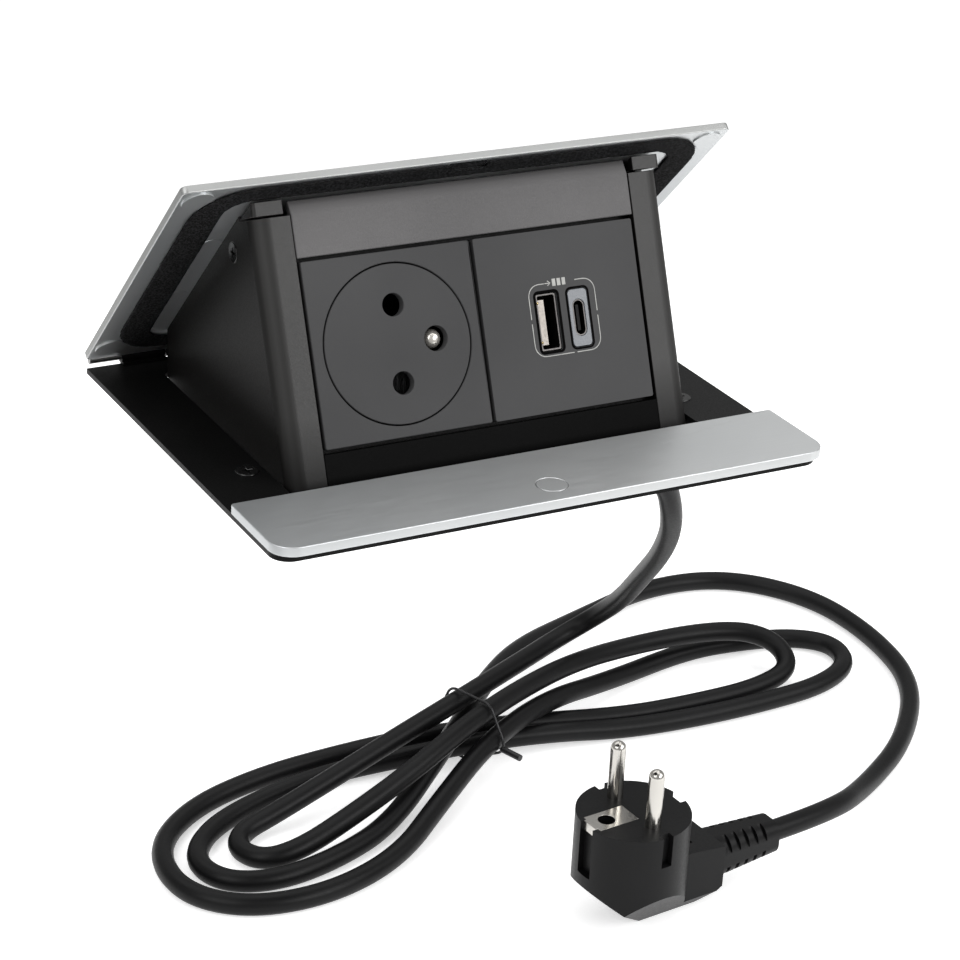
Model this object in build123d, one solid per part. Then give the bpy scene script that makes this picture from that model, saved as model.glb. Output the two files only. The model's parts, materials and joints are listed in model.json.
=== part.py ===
from build123d import *
import os
from math import cos, pi, radians, sin, sqrt, tan

# Pop up desk socket, shown open. Millimetres, +Z up, X along the width, +Y to the rear.
# The origin is on the desk's surface, under the middle of the flange.

# Whole unit
cover_width = 149.0
cover_overhang = 0.75
flange_width = cover_width - 2 * cover_overhang
flange_depth = 121.0
flange_thickness = 1.5
open_angle = 45.0
face_tilt = 22.0
overrun = 4.0
contact_gap = 0.3
moving_gap = 1.0

# Front strip and its bed
strip_depth = 27.1
strip_overhang = 2.1
strip_front_y = -flange_depth / 2 - strip_overhang
strip_rear_y = strip_front_y + strip_depth
flange_corner_radius = 5.0
strip_thickness = 2.4
strip_bed_thickness = 0.6
strip_corner_radius = 6.0
strip_rear_radius = 0.8
bed_inset = 1.2
lid_seam = 0.8

# Lid
closing_gap = 1.0
lid_corner_radius = 1.5
lid_mark_diameter = 8.0
lid_mark_height = 0.4
lid_mark_inset = 5.0

# Lid gasket
gasket_thickness = 0.7
gasket_side_inset = 4.8
gasket_front_inset = 1.0
gasket_rear_start = 6.5
gasket_side_width = 8.6
gasket_end_width = 6.6
gasket_outer_radius = 14.0
gasket_inner_radius = 6.0
gasket_notch_width = 10.0
gasket_notch_depth = 3.0

# Hinge along the rear edge
knuckle_radius = 1.7
pin_radius = 0.9
pin_clearance = 0.05
hinge_behind_flange = 0.7
hinge_y = flange_depth / 2 + hinge_behind_flange
pin_end_inset = 0.9
knuckle_width = 12.0
knuckle_gap = 0.4
outer_knuckle_inset = 15.5
outer_knuckle_x = flange_width / 2 - outer_knuckle_inset
lid_knuckle_offset = 12.4
hinge_leaf_thickness = 0.6
hinge_spring_radius = 1.45
inner_knuckle_x = 8.0
hinge_spring_start = inner_knuckle_x + knuckle_width / 2 + knuckle_gap
hinge_spring_end = outer_knuckle_x - lid_knuckle_offset - knuckle_width / 2 - knuckle_gap
hinge_spring_length = hinge_spring_end - hinge_spring_start

# Moving wedge body
body_side_inset = 18.7
body_half_width = cover_width / 2 - body_side_inset
body_wall = 2.0
cheek_radius = 4.5
cheek_wall = 2.4
body_bottom_drop = 4.5
body_rear_start = 16.0
heel_set_in = 6.0
heel_start_z = 1.0
body_side_top = 86.0
rear_wall_thickness = 1.5
floor_thickness = 1.8
stop_reach = 2.6
stop_width = 16.0
stop_inset = 21.8
stop_x = body_half_width - stop_inset
side_screw_along_share = 0.82
side_screw_below = 5.0

# Socket face, measured on the tilted front
face_foot_before_hinge = 86.7
face_foot_y = hinge_y - face_foot_before_hinge
face_foot_z = 8.9
module_gap = 1.0
module_reveal = 0.9
cheek_width = 9.4
module_size = body_half_width - cheek_width - module_reveal - module_gap / 2
module_plate = 3.0
module_edge_radius = 0.5
trim_top_height = 60.2
trim_fold_share = 0.7273
trim_low_height = module_size + module_reveal
trim_fold_height = trim_low_height + trim_fold_share * (trim_top_height - trim_low_height)
trim_lean = 1.5
trim_thickness = 2.2
trim_seam = 0.5
cap_seam = 0.5
cap_side_gap = 1.6
cap_radius = 1.0
cap_deep = 9.0
frame_behind = 4.4
frame_thickness = 2.0
frame_rim = 3.2
frame_side_gap = 2.2

# Power outlet
disc_share = 0.8622
disc_radius = disc_share * module_size / 2
disc_clearance = 0.35
disc_face = 2.5
disc_deep = 7.0
disc_wall = 1.6
disc_travel = 10.0
pin_pitch = 19.0
live_hole_radius = 2.8
earth_offset = 10.2
earth_hole_radius = 3.1
contact_pin_radius = 2.4
earth_pin_recess = 0.8
contact_bore_radius = 2.45
contact_wall = 0.9
contact_length = 12.0
outlet_base_margin = 3.0
outlet_base_size = module_size - outlet_base_margin
outlet_base_deep = 33.0
outlet_base_foot = 2.6
cavity_floor_gap = 0.6
disc_spring_radius = 3.6
disc_spring_wall = 0.9
terminal_width = 9.0
terminal_height = 8.0
terminal_deep = 7.0

# Charger module
usb_a_offset = -4.3
usb_c_offset = 4.45
usb_row_drop = 0.2
usb_a_x = (module_size + module_gap) / 2 + usb_a_offset
usb_c_x = (module_size + module_gap) / 2 + usb_c_offset
usb_row_height = module_size / 2 - usb_row_drop
usb_port_corner = 0.6
slot_round_share = 0.49
usb_a_wide = 5.9
usb_a_tall = 14.4
usb_a_wall = 0.45
usb_a_deep = 13.0
usb_a_tongue_wide = 1.9
usb_a_tongue_tall = 11.2
usb_fit = 0.15
usb_c_surround_wide = 5.7
usb_c_surround_tall = 14.6
usb_c_surround_radius = 1.1
usb_c_wide = 3.4
usb_c_tall = 9.2
usb_c_wall = 0.35
usb_c_deep = 9.0
usb_c_tongue_wide = 0.8
usb_c_tongue_tall = 6.4
usb_recess = 0.5
charger_margin = 4.0
charger_size = module_size - charger_margin
charger_deep = 26.0
charger_wall = 1.4
board_thickness = 1.6
board_start = 16.5
board_margin = 1.0
transformer_share = 0.34
transformer_shift_share = 0.1
transformer_size = transformer_share * charger_size
board_part_edge = 1.0
transformer_deep = 6.0
capacitor_radius = 4.0
capacitor_length = 6.0

# Frame under the flange
collar_wall = 1.2
collar_drop = 9.0
collar_clearance = 1.0
cutout_side_gap = 0.8
cutout_front_gap = 1.4
cutout_before_hinge = 10.6
cutout_rear_y = hinge_y - cutout_before_hinge
cutout_corner_radius = 2.0
cutout_ear_radius = 2.6
flange_screw_inset = 12.75
flange_screw_x = flange_width / 2 - flange_screw_inset
flange_screw_behind_strip = 21.3
flange_screw_y = strip_rear_y + flange_screw_behind_strip
flange_screw_radius = 1.75
flange_screw_head_radius = 3.1
flange_screw_head_height = 1.2
flange_screw_length = 14.0
screw_slot_width = 0.8
screw_slot_depth = 0.7
screw_slot_share = 0.62

# Push button and lid lifter
button_radius = 3.8
button_from_front = 6.0
button_y = button_from_front - flange_depth / 2
button_clearance = 0.1
button_travel = 0.65
button_lost_motion = 0.2
button_stem_radius = 1.6
lifter_width = 6.0
lifter_thickness = 0.6
lifter_bottom = 0.85
lifter_pivot_before_rear = 8.5
lifter_pivot_y = strip_rear_y - lifter_pivot_before_rear
lifter_pivot_z = 1.05
lifter_pin_radius = 0.45
lifter_boss_radius = 0.85
lifter_tip_reach = 2.9
lifter_tip_y = strip_rear_y + lifter_tip_reach
lifter_side_gap = 0.3

# Rear bracket, cord gland and terminal block
bracket_wall = 1.5
bracket_before_hinge = 3.9
bracket_y = hinge_y - bracket_before_hinge
bracket_drop = 54.0
bracket_left_x = -24.0
bracket_right_x = 50.0
gland_x = 38.0
gland_before_bracket = 10.8
gland_y = bracket_y - gland_before_bracket
gland_z = -41.0
gland_plate_half = 8.5
gland_thread_radius = 6.0
gland_thread_length = 9.0
gland_hex_flats = 16.0
gland_hex_length = 5.0
gland_dome_radius = 7.4
gland_dome_length = 10.0
gland_dome_share = 0.42
gland_nut_length = 4.0
block_width = 26.0
block_height = 15.0
block_deep = 13.0
block_x = -6.0
bracket_screw_radius = 1.4
bracket_screw_head = 2.6
bracket_screw_inset = 3.2

# Cord, plug and tie
cord_diameter = 6.8
wire_diameter = 2.2
floor_drop = 185.0
plug_x = 81.0
plug_y = 22.0
plug_turn = 5.5
plug_radius = 17.4
plug_height = 36.0
plug_pin_radius = 2.4
plug_pin_length = 19.0
plug_shoulder_height = 15.0
plug_keel_half_width = 5.5
plug_keel_start = 1.0
plug_keel_end = 22.0
plug_edge_radius = 1.2
plug_key_drop = 10.0
plug_clip_leg = 3.0
plug_clip_depth = 17.0
plug_neck_end = 30.0
plug_neck_half_width = 8.5
plug_neck_top = 20.5
plug_axis_height = 12.0
plug_key_width = 3.6
plug_key_depth = 2.4
plug_clip_width = 6.0
plug_clip_thickness = 0.8
plug_clip_inset = 2.2
plug_earth_centre = -10.0
plug_earth_hole_radius = 2.6
plug_earth_plate_width = 8.6
plug_earth_plate_length = 14.0
relief_length = 24.0
relief_start_half = 7.0
relief_end_half = 5.6
relief_corner_share = 0.72
relief_slot_turn = 45.0
relief_slot_half = 3.0
relief_slots = 5
relief_slot_width = 1.4
relief_slot_pitch = 3.6
relief_slot_depth = 1.3
corner_share = 0.45
cord_gap_wanted = 0.4
cord_same_stretch = 30.0
cord_sample_step = 3.0
tie_place = (80.0, 118.0)
tie_side_direction = (-0.331, 0.944, 0)
tie_wire_radius = 0.45
tie_bend = 4.3
tie_knot_length = 8.0
tie_knot_radius = 1.1

# The cord's route, as corners of straight runs. The drop is in world coordinates.
drop_corners = [
    (74.0, gland_y, gland_z),
    (93.0, 47.0, -52.0),
    (106.0, 57.0, -74.0),
    (121.0, 82.0, -98.0),
    (134.0, 110.0, -123.0),
    (142.5, 134.0, -144.0),
    (141.0, 148.0, -157.0),
    (129.0, 151.0, -164.0),
    (110.0, 142.0, -164.4),
]
# On the floor a corner is X, Y and how far the cord is lifted there to cross over itself.
hank_corners = [
    (79, 127, 17.2), (52, 118, 14), (28, 112, 9), (4, 108, 2.5),
    (-10, 105, 0), (-14, 96, 0), (-9, 87, 0.5), (3, 86, 2.5),
    (20, 91, 5.5), (44, 97, 12.4), (71, 110, 17), (98, 124, 17.2),
    (130, 141, 13), (160, 149, 9.5), (186, 148, 9.5), (203, 143, 9),
    (211, 134, 6), (209, 124, 1.5), (192, 119.5, 0), (166, 119, 0),
    (138, 121, 0), (104, 128, 1.6), (70, 133.5, 2), (40, 136.5, 0),
    (10, 134, 0), (-18, 125, 0), (-37, 107, 0), (-39, 82, 0),
    (-24, 66, 0), (2, 63, 0), (30, 73, 0), (53, 91, 3.6),
    (79, 109, 9.6), (110, 126, 9.9), (146, 143, 1), (184, 153, 0),
    (208, 151, 0), (226, 146, 0), (236, 136, 0), (232, 121, 0),
    (214, 112, 0), (187, 110, 0), (160, 110.5, 0), (134, 113.5, 0),
    (110, 118, 2), (84, 122.5, 2), (57, 126.5, 0), (30, 127, 0),
    (1, 120, 0), (-19, 110, 0), (-29, 96, 0), (-25, 82, 0),
    (-10, 76, 0), (12, 80, 0), (36, 91, 0), (62, 110, 8.6),
    (80, 127, 9.4), (98, 146, 9.4), (122, 166, 8),
]
tail_corners = [
    (160, 188, 1), (197, 204, 0), (229, 197, 0), (250, 171, 0),
    (255, 137, 0), (246, 101, 0), (219, 69, 0), (188, 48, 1),
]
relief_lead = 26.0
tie_corners = [(4.4, -2.8), (22.2, -2.8), (12.0, 21.1), (-5.5, 21.4), (-13.9, 7.5)]

# Values that follow from these
hinge_z = flange_thickness + knuckle_radius
lid_under = flange_thickness + closing_gap - hinge_z
lid_thickness = strip_bed_thickness + strip_thickness - closing_gap
lid_rear = knuckle_radius + knuckle_gap
lid_front = hinge_y - strip_rear_y - lid_seam
strip_top_z = flange_thickness + strip_bed_thickness + strip_thickness
tilt_sin = sin(radians(face_tilt))
tilt_cos = cos(radians(face_tilt))
open_sin = sin(radians(open_angle))
open_cos = cos(radians(open_angle))
lid_plane = Plane(origin=(0, hinge_y, hinge_z), x_dir=(1, 0, 0), z_dir=(0, open_sin, open_cos))
face_plane = Plane(origin=(0, face_foot_y, face_foot_z), x_dir=(1, 0, 0), z_dir=(0, -tilt_cos, tilt_sin))
rise_plane = Plane(origin=(0, face_foot_y, face_foot_z), x_dir=(1, 0, 0), z_dir=(0, tilt_sin, tilt_cos))
module_centre_x = (module_size + module_gap) / 2
module_edge_x = module_size + module_gap / 2
opening_half = module_edge_x + module_reveal
body_bottom_z = -body_bottom_drop
face_bottom_height = (body_bottom_z - face_foot_z) / tilt_cos
outlet_centre = (-module_centre_x, module_size / 2)
floor_z = -floor_drop
cord_radius = cord_diameter / 2


def on_lid(along, height):
    """World Y and Z of a point on the lid's side view."""
    return (hinge_y - along * open_cos + height * open_sin, hinge_z + along * open_sin + height * open_cos)


def on_face(height, out=0):
    """World Y and Z of a point on the socket face's side view."""
    return (face_foot_y + height * tilt_sin - out * tilt_cos, face_foot_z + height * tilt_cos + out * tilt_sin)


def block(plane, low, high):
    """A box between two corners given in a plane's own axes."""
    size = [high[i] - low[i] for i in range(3)]
    centre = [(high[i] + low[i]) / 2 for i in range(3)]
    return plane * Pos(*centre) * Box(*size)


def rod(plane, x, y, start, end, radius):
    """A round rod square to a plane, from one height to another."""
    return plane * Pos(x, y, (start + end) / 2) * Cylinder(radius, end - start)


def tube(plane, x, y, start, end, radius, bore):
    return rod(plane, x, y, start, end, radius) - rod(plane, x, y, start - overrun, end + overrun, bore)


def slab(outline, low_x, high_x):
    """A side view outline in Y and Z, carried from one X to another."""
    face = Plane.YZ.offset(low_x) * Polygon(*outline, align=None)
    return extrude(face, amount=high_x - low_x, dir=(1, 0, 0))


def rounded_plate(plane, wide, tall, radius, low, high, x=0, y=0):
    """A plate with four rounded corners, between two heights over a plane."""
    sketch = RectangleRounded(wide, tall, radius)
    return extrude(plane * Pos(x, y, low) * sketch, amount=high - low)


def both_sides(part):
    return [part, mirror(part, about=Plane.YZ)]


def cross_screw(plane, x, y, seat, radius, head_radius, head_height, length):
    """A countersunk screw with a cross recess, its head's top at the seat."""
    head = plane * Pos(x, y, seat - head_height / 2) * Cone(radius, head_radius, head_height)
    shank = rod(plane, x, y, seat - length, seat - head_height, radius)
    reach = head_radius * screw_slot_share
    low = seat - screw_slot_depth
    high = seat + overrun
    across = screw_slot_width / 2
    screw = head + shank
    screw -= block(plane, (x - reach, y - across, low), (x + reach, y + across, high))
    screw -= block(plane, (x - across, y - reach, low), (x + across, y + reach, high))
    return screw


# Frame
def flange():
    """The black sheet with its cut-out, screw holes and hinge knuckles."""
    sheet = extrude(Rectangle(flange_width, flange_depth), amount=flange_thickness)
    front_corners = sheet.edges().filter_by(Axis.Z).sort_by(Axis.Y)[:2]
    sheet = fillet(front_corners, flange_corner_radius)
    front = on_face(0)[0] + (0 - face_foot_z) * tilt_sin / tilt_cos - cutout_front_gap
    half = body_half_width + cutout_side_gap
    deep = cutout_rear_y - front
    middle = (cutout_rear_y + front) / 2
    sheet -= rounded_plate(Plane.XY, 2 * half, deep, cutout_corner_radius, -overrun, overrun, 0, middle)
    for side in (-1, 1):
        x = side * flange_screw_x
        sheet -= rod(Plane.XY, x, flange_screw_y, -overrun, overrun, flange_screw_radius + button_clearance)
        low = flange_thickness - flange_screw_head_height
        sink = Cone(flange_screw_radius, flange_screw_head_radius, flange_screw_head_height)
        sheet -= Pos(x, flange_screw_y, low + flange_screw_head_height / 2) * sink
    sheet -= lifter_slot(-overrun, overrun)
    for side in (-1, 1):
        corner_x = side * (half - cutout_corner_radius)
        sheet -= rod(Plane.XY, corner_x, front, -overrun, overrun, cutout_ear_radius)
    for x in (-outer_knuckle_x, -inner_knuckle_x, inner_knuckle_x, outer_knuckle_x):
        sheet += knuckle_with_web(x)
    return sheet - hinge_bore()


def knuckle_with_web(x):
    """One flange knuckle, joined to the rear edge by a web under it."""
    half = knuckle_width / 2
    ring = Pos(x, hinge_y, hinge_z) * Rot(0, 90, 0) * Cylinder(knuckle_radius, knuckle_width)
    web_front = flange_depth / 2 - knuckle_radius
    web = block(Plane.XY, (x - half, web_front, 0), (x + half, hinge_y, hinge_z - pin_radius - pin_clearance))
    return ring + web


def hinge_bore():
    bore = Cylinder(pin_radius + pin_clearance, cover_width)
    return Pos(0, hinge_y, hinge_z) * Rot(0, 90, 0) * bore


def lifter_slot(low, high):
    """The slot that the lifter bar rocks in, with the button's hole at its front end."""
    half = lifter_width / 2 + lifter_side_gap
    front = button_y - button_stem_radius - lifter_side_gap
    rear = lifter_tip_y + lifter_side_gap
    return block(Plane.XY, (-half, front, low), (half, rear, high))


def collar():
    """The skirt that lines the desk's cut-out at both sides and the front."""
    half = body_half_width + cutout_side_gap + collar_clearance
    front = on_face(face_bottom_height)[0] - stop_reach - collar_clearance
    outer = (half + collar_wall, front - collar_wall)
    skirt = block(Plane.XY, (-outer[0], outer[1], -collar_drop), (outer[0], cutout_rear_y, 0))
    return skirt - block(Plane.XY, (-half, front, -collar_drop - overrun), (half, cutout_rear_y + overrun, overrun))


def flange_screws():
    return [
        cross_screw(
            Plane.XY,
            side * flange_screw_x,
            flange_screw_y,
            flange_thickness,
            flange_screw_radius,
            flange_screw_head_radius - button_clearance,
            flange_screw_head_height - button_clearance,
            flange_screw_length,
        )
        for side in (-1, 1)
    ]


def front_strip():
    """The silver strip along the front, with rounded front corners and the button's hole."""
    middle = (strip_front_y + strip_rear_y) / 2
    low = flange_thickness + strip_bed_thickness
    plate = extrude(Pos(0, middle, low) * Rectangle(cover_width, strip_depth), amount=strip_thickness)
    upright = plate.edges().filter_by(Axis.Z)
    front = upright.sort_by(Axis.Y)[:2]
    plate = fillet(front, strip_corner_radius)
    rear = plate.edges().filter_by(Axis.Z).sort_by(Axis.Y)[-2:]
    plate = fillet(rear, strip_rear_radius)
    return plate - rod(Plane.XY, 0, button_y, 0, strip_top_z + overrun, button_radius + button_clearance)


def strip_bed():
    """The thin black adhesive layer between the strip and the flange."""
    wide = flange_width - 2 * bed_inset
    front = bed_inset - flange_depth / 2
    rear = strip_rear_y - bed_inset
    low = flange_thickness
    high = flange_thickness + strip_bed_thickness
    bed = block(Plane.XY, (-wide / 2, front, low), (wide / 2, rear, high))
    bed -= rod(Plane.XY, 0, button_y, 0, strip_top_z, button_radius + contact_gap)
    half = lifter_width / 2 + lifter_side_gap
    return bed - block(Plane.XY, (-half, button_y, 0), (half, rear + overrun, strip_top_z))


def hinge_pin():
    """The bright rod that shows bare at both ends of the hinge."""
    length = flange_width - 2 * pin_end_inset
    return Pos(0, hinge_y, hinge_z) * Rot(0, 90, 0) * Cylinder(pin_radius, length)


def hinge_springs():
    """Two close coils round the pin that push the lid up, as plain sleeves."""
    sleeve = Cylinder(hinge_spring_radius, hinge_spring_length)
    sleeve -= Cylinder(pin_radius + pin_clearance, hinge_spring_length + overrun)
    x = hinge_spring_start + hinge_spring_length / 2
    return [Pos(side * x, hinge_y, hinge_z) * Rot(0, 90, 0) * sleeve for side in (-1, 1)]


# Button and lifter
def push_button():
    """The round push spot, flush with the strip, with a stem down to the lifter."""
    low = flange_thickness + strip_bed_thickness
    cap = rod(Plane.XY, 0, button_y, low + button_travel, strip_top_z, button_radius)
    stem = rod(Plane.XY, 0, button_y, lifter_top() + button_lost_motion, low + button_travel, button_stem_radius)
    return cap + stem


def lifter_top():
    return lifter_bottom + lifter_thickness


def lifter():
    """The bar under the strip that rocks on its pin and lifts the lid's front edge."""
    half = lifter_width / 2
    front = button_y - button_stem_radius
    bar = block(Plane.XY, (-half, front, lifter_bottom), (half, lifter_tip_y, lifter_top()))
    eye = Cylinder(lifter_pin_radius + pin_clearance, lifter_width + overrun)
    boss = Cylinder(lifter_boss_radius, lifter_width)
    place = Pos(0, lifter_pivot_y, lifter_pivot_z) * Rot(0, 90, 0)
    return bar + place * boss - place * eye


def lifter_pin():
    reach = lifter_width / 2 + lifter_side_gap
    return Pos(0, lifter_pivot_y, lifter_pivot_z) * Rot(0, 90, 0) * Cylinder(lifter_pin_radius, 2 * reach)


def button_spring():
    """A wave washer between the button's shoulder and the flange, as a plain ring."""
    low = flange_thickness
    high = flange_thickness + strip_bed_thickness + button_travel
    return tube(Plane.XY, 0, button_y, low, high, button_radius - button_clearance, button_stem_radius + moving_gap)


# Lid
def lid_panel():
    """The flat silver lid."""
    length = lid_front - lid_rear
    middle = -(lid_front + lid_rear) / 2
    return rounded_plate(
        lid_plane, cover_width, length, lid_corner_radius, lid_under, lid_under + lid_thickness, 0, middle
    )


def lid_gasket():
    """The foam ring under the lid, notched over the lifter."""
    outer_wide = cover_width - 2 * gasket_side_inset
    outer_front = lid_front - gasket_front_inset
    outer_long = outer_front - gasket_rear_start
    middle = -(outer_front + gasket_rear_start) / 2
    low = lid_under - gasket_thickness
    ring = rounded_plate(lid_plane, outer_wide, outer_long, gasket_outer_radius, low, lid_under, 0, middle)
    hole_wide = outer_wide - 2 * gasket_side_width
    hole_long = outer_long - 2 * gasket_end_width
    ring -= rounded_plate(
        lid_plane, hole_wide, hole_long, gasket_inner_radius, low - overrun, lid_under + overrun, 0, middle
    )
    half = gasket_notch_width / 2
    notch_start = outer_front - gasket_notch_depth
    return ring - block(
        lid_plane, (-half, -outer_front - overrun, low - overrun), (half, -notch_start, lid_under + overrun)
    )


def lid_marks():
    """Small round buffers on the lid's underside, at its corners and along its sides."""
    corner_x = cover_width / 2 - lid_mark_inset
    corner_reach = gasket_front_inset + lid_mark_diameter / 4
    radius = lid_mark_diameter / 2
    far = lid_front - lid_mark_inset
    near = lid_rear + lid_mark_inset + radius / 2
    pads = []
    for side in (-1, 1):
        for x, along in ((corner_x, far), (corner_x, near)):
            pad = rod(lid_plane, side * x, -along, lid_under - lid_mark_height, lid_under, radius)
            pads.append(pad - lid_gasket_outline())
    return pads


def lid_gasket_outline():
    """The space that the foam ring fills, with a little room round it."""
    outer_wide = cover_width - 2 * gasket_side_inset + contact_gap
    outer_front = lid_front - gasket_front_inset + contact_gap / 2
    outer_long = outer_front - gasket_rear_start + contact_gap / 2
    middle = -(outer_front + gasket_rear_start - contact_gap / 2) / 2
    return rounded_plate(
        lid_plane, outer_wide, outer_long, gasket_outer_radius, lid_under - overrun, lid_under + overrun, 0, middle
    )


def hinge_leaves():
    """The lid's own knuckles, each with a leaf against the lid's underside."""
    return [hinge_leaf(side * (outer_knuckle_x - lid_knuckle_offset)) for side in (-1, 1)]


def hinge_leaf(x):
    half = knuckle_width / 2
    ring = Pos(x, hinge_y, hinge_z) * Rot(0, 90, 0) * Cylinder(knuckle_radius, knuckle_width)
    low = lid_under - hinge_leaf_thickness
    leaf = block(lid_plane, (x - half, -gasket_rear_start + contact_gap, low), (x + half, 0, lid_under))
    return ring + leaf - hinge_bore()


# Body
def body_outline(inset=0):
    """Side view of the wedge, optionally drawn in from its face and floor."""
    rear_top = on_lid(body_rear_start, lid_under)
    front_top = on_lid(body_side_top, lid_under)
    fold = on_face(trim_fold_height, -inset)
    foot_height = face_bottom_height + inset / tilt_cos + inset * tilt_sin / tilt_cos
    foot = on_face(foot_height, -inset)
    rear_y = rear_top[0]
    heel = (rear_y - heel_set_in, body_bottom_z + inset)
    return [rear_top, front_top, fold, foot, heel, (rear_y, heel_start_z)]


def side_panel():
    """The left wall, wrapped round the front edge to make the cheek beside the sockets."""
    deep = 2 * lid_front
    low = face_bottom_height * 2
    high = trim_top_height * 2
    outer = corner_bar(body_half_width, opening_half, cheek_radius, 0, deep, low, high)
    inner_half = body_half_width - body_wall
    inner = corner_bar(
        inner_half, opening_half - overrun, cheek_radius - body_wall, cheek_wall, deep + overrun, low, high
    )
    wall = outer - inner
    panel = wall & slab(body_outline(), -cover_width, cover_width)
    panel -= cap_space(0)
    return panel - body_screw_hole()


def corner_bar(outer_x, inner_x, radius, start, deep, low, high):
    """A long bar along the face's left edge, rounded where front and side meet."""
    wide = outer_x - inner_x
    sketch = Pos(-(outer_x + inner_x) / 2, (start + deep) / 2) * Rectangle(wide, deep - start)
    corner = sketch.vertices().sort_by_distance((-outer_x, start, 0))[0]
    sketch = fillet(corner, radius)
    return extrude(rise_plane.offset(low) * sketch, amount=high - low)


def cap_space(clear):
    """The block that a corner cap takes out of the side panel's top front corner."""
    low = (-body_half_width - overrun, trim_fold_height - clear, -cap_deep)
    high = (-opening_half + overrun, trim_top_height + overrun, overrun)
    return block(face_plane, low, high)


def corner_cap():
    """The small block on top of the cheek."""
    deep = cap_deep
    low = trim_fold_height + cap_seam
    cap = corner_bar(body_half_width, opening_half + cap_side_gap, cap_radius, 0, deep, low, trim_top_height)
    return cap - lid_space()


def front_rail():
    """The lip below the modules, between the two cheeks."""
    top = -module_reveal
    low = (-opening_half, face_bottom_height - overrun, -cheek_wall)
    high = (opening_half, top, 0)
    bar = block(face_plane, low, high)
    return bar & slab(body_outline(), -cover_width, cover_width)


def body_floor():
    """The bottom plate, with the two stops that catch under the flange."""
    front = on_face(face_bottom_height, -cheek_wall)[0]
    rear = on_lid(body_rear_start, lid_under)[0]
    half = body_half_width - body_wall
    high = body_bottom_z + floor_thickness
    reach = front + cheek_wall * tilt_sin
    plate = block(Plane.XY, (-half, reach, body_bottom_z), (half, rear, high))
    plate &= slab(body_outline(), -cover_width, cover_width)
    high = (cover_width, module_size, overrun)
    plate -= block(face_plane, (-cover_width, face_bottom_height * 2, -cheek_wall), high)
    corner = block(
        face_plane, (opening_half, face_bottom_height * 2, -cheek_radius - contact_gap), (cover_width, module_size, overrun)
    )
    for cheek in both_sides(corner):
        plate -= cheek
    return plate


def stop_pads():
    """Two hooks on the lip that meet the flange's underside when the lid is up."""
    face_y = on_face(face_bottom_height)[0]
    pads = []
    for side in (-1, 1):
        low_x = side * stop_x - stop_width / 2
        low = (low_x, face_y - stop_reach, body_bottom_z)
        high = (low_x + stop_width, face_y + stop_reach, -contact_gap)
        pad = block(Plane.XY, low, high)
        behind = block(face_plane, (-cover_width, 2 * face_bottom_height, -overrun * 4), (cover_width, module_size, 0))
        pads.append(pad - behind)
    return pads


def rear_wall():
    """The upright plate at the wedge's thin end, with an opening for the leads."""
    rear = on_lid(body_rear_start, lid_under)
    half = body_half_width - body_wall
    front_y = rear[0] - rear_wall_thickness
    top = rear[1]
    low_z = body_bottom_z + floor_thickness
    plate = block(Plane.XY, (-half, front_y, low_z), (half, rear[0], top))
    plate &= slab(body_outline(), -cover_width, cover_width)
    hole = Pos(block_x, rear[0], (low_z + top) / 3) * Rot(90, 0, 0) * Cylinder(wire_diameter * 2, 4 * overrun)
    return plate - hole


def top_trim():
    """The bent strip above the modules: a broad facet, a fold and a narrow facet."""
    half = opening_half - trim_seam / 2
    low = trim_low_height
    back = -trim_thickness
    outline = [
        on_face(low),
        on_face(trim_fold_height),
        on_face(trim_top_height, -trim_lean),
        on_face(trim_top_height, -trim_lean + back),
        on_face(trim_fold_height, back),
        on_face(low, back),
    ]
    return slab(outline, -half, half) - lid_space()


def lid_space():
    """All that lies above the foam ring's lower face."""
    low = (-cover_width, -2 * lid_front, lid_under - gasket_thickness - contact_gap)
    return block(lid_plane, low, (cover_width, 0, 2 * cheek_radius))


def module_frame():
    """The support plate that both modules clip into, fixed between the cheeks."""
    half = body_half_width - body_wall - frame_side_gap
    low = -frame_rim
    high = module_size + frame_rim
    near = -frame_behind
    far = near - frame_thickness
    plate = block(face_plane, (-half, low, far), (half, high, near))
    for centre in (-module_centre_x, module_centre_x):
        window = outlet_base_size / 2 + contact_gap
        middle = module_size / 2
        plate -= block(
            face_plane,
            (centre - window, middle - window, far - overrun),
            (centre + window, middle + window, near + overrun),
        )
    return plate


def side_screw_place():
    """The left wall's outer plane and the screw's place in it."""
    plane = Plane(origin=(-body_half_width, 0, 0), x_dir=(0, -1, 0), z_dir=(-1, 0, 0))
    spot = on_lid(body_side_top * side_screw_along_share, lid_under - side_screw_below)
    return plane, -spot[0], spot[1]


def body_screw_hole():
    """The sunk hole for the side wall's screw."""
    plane, x, y = side_screw_place()
    bore = rod(plane, x, y, -overrun, 0, bracket_screw_radius + button_clearance)
    wide = bracket_screw_head + button_clearance
    head = plane * Pos(x, y, -body_wall / 4) * Cone(bracket_screw_radius + button_clearance, wide, body_wall / 2)
    return bore + head


def body_screws():
    """Cross head screws: one high on each side wall."""
    plane, x, y = side_screw_place()
    length = 3 * body_wall
    return both_sides(cross_screw(plane, x, y, 0, bracket_screw_radius, bracket_screw_head, body_wall / 2, length))


# Power outlet
def outlet_cover():
    """The square face plate round the disc."""
    centre_x, centre_v = outlet_centre
    plate = rounded_plate(
        face_plane, module_size, module_size, module_edge_radius, -module_plate, 0, centre_x, centre_v
    )
    plate -= rod(face_plane, centre_x, centre_v, -overrun - module_plate, overrun, disc_radius + disc_clearance)
    return plate


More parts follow.
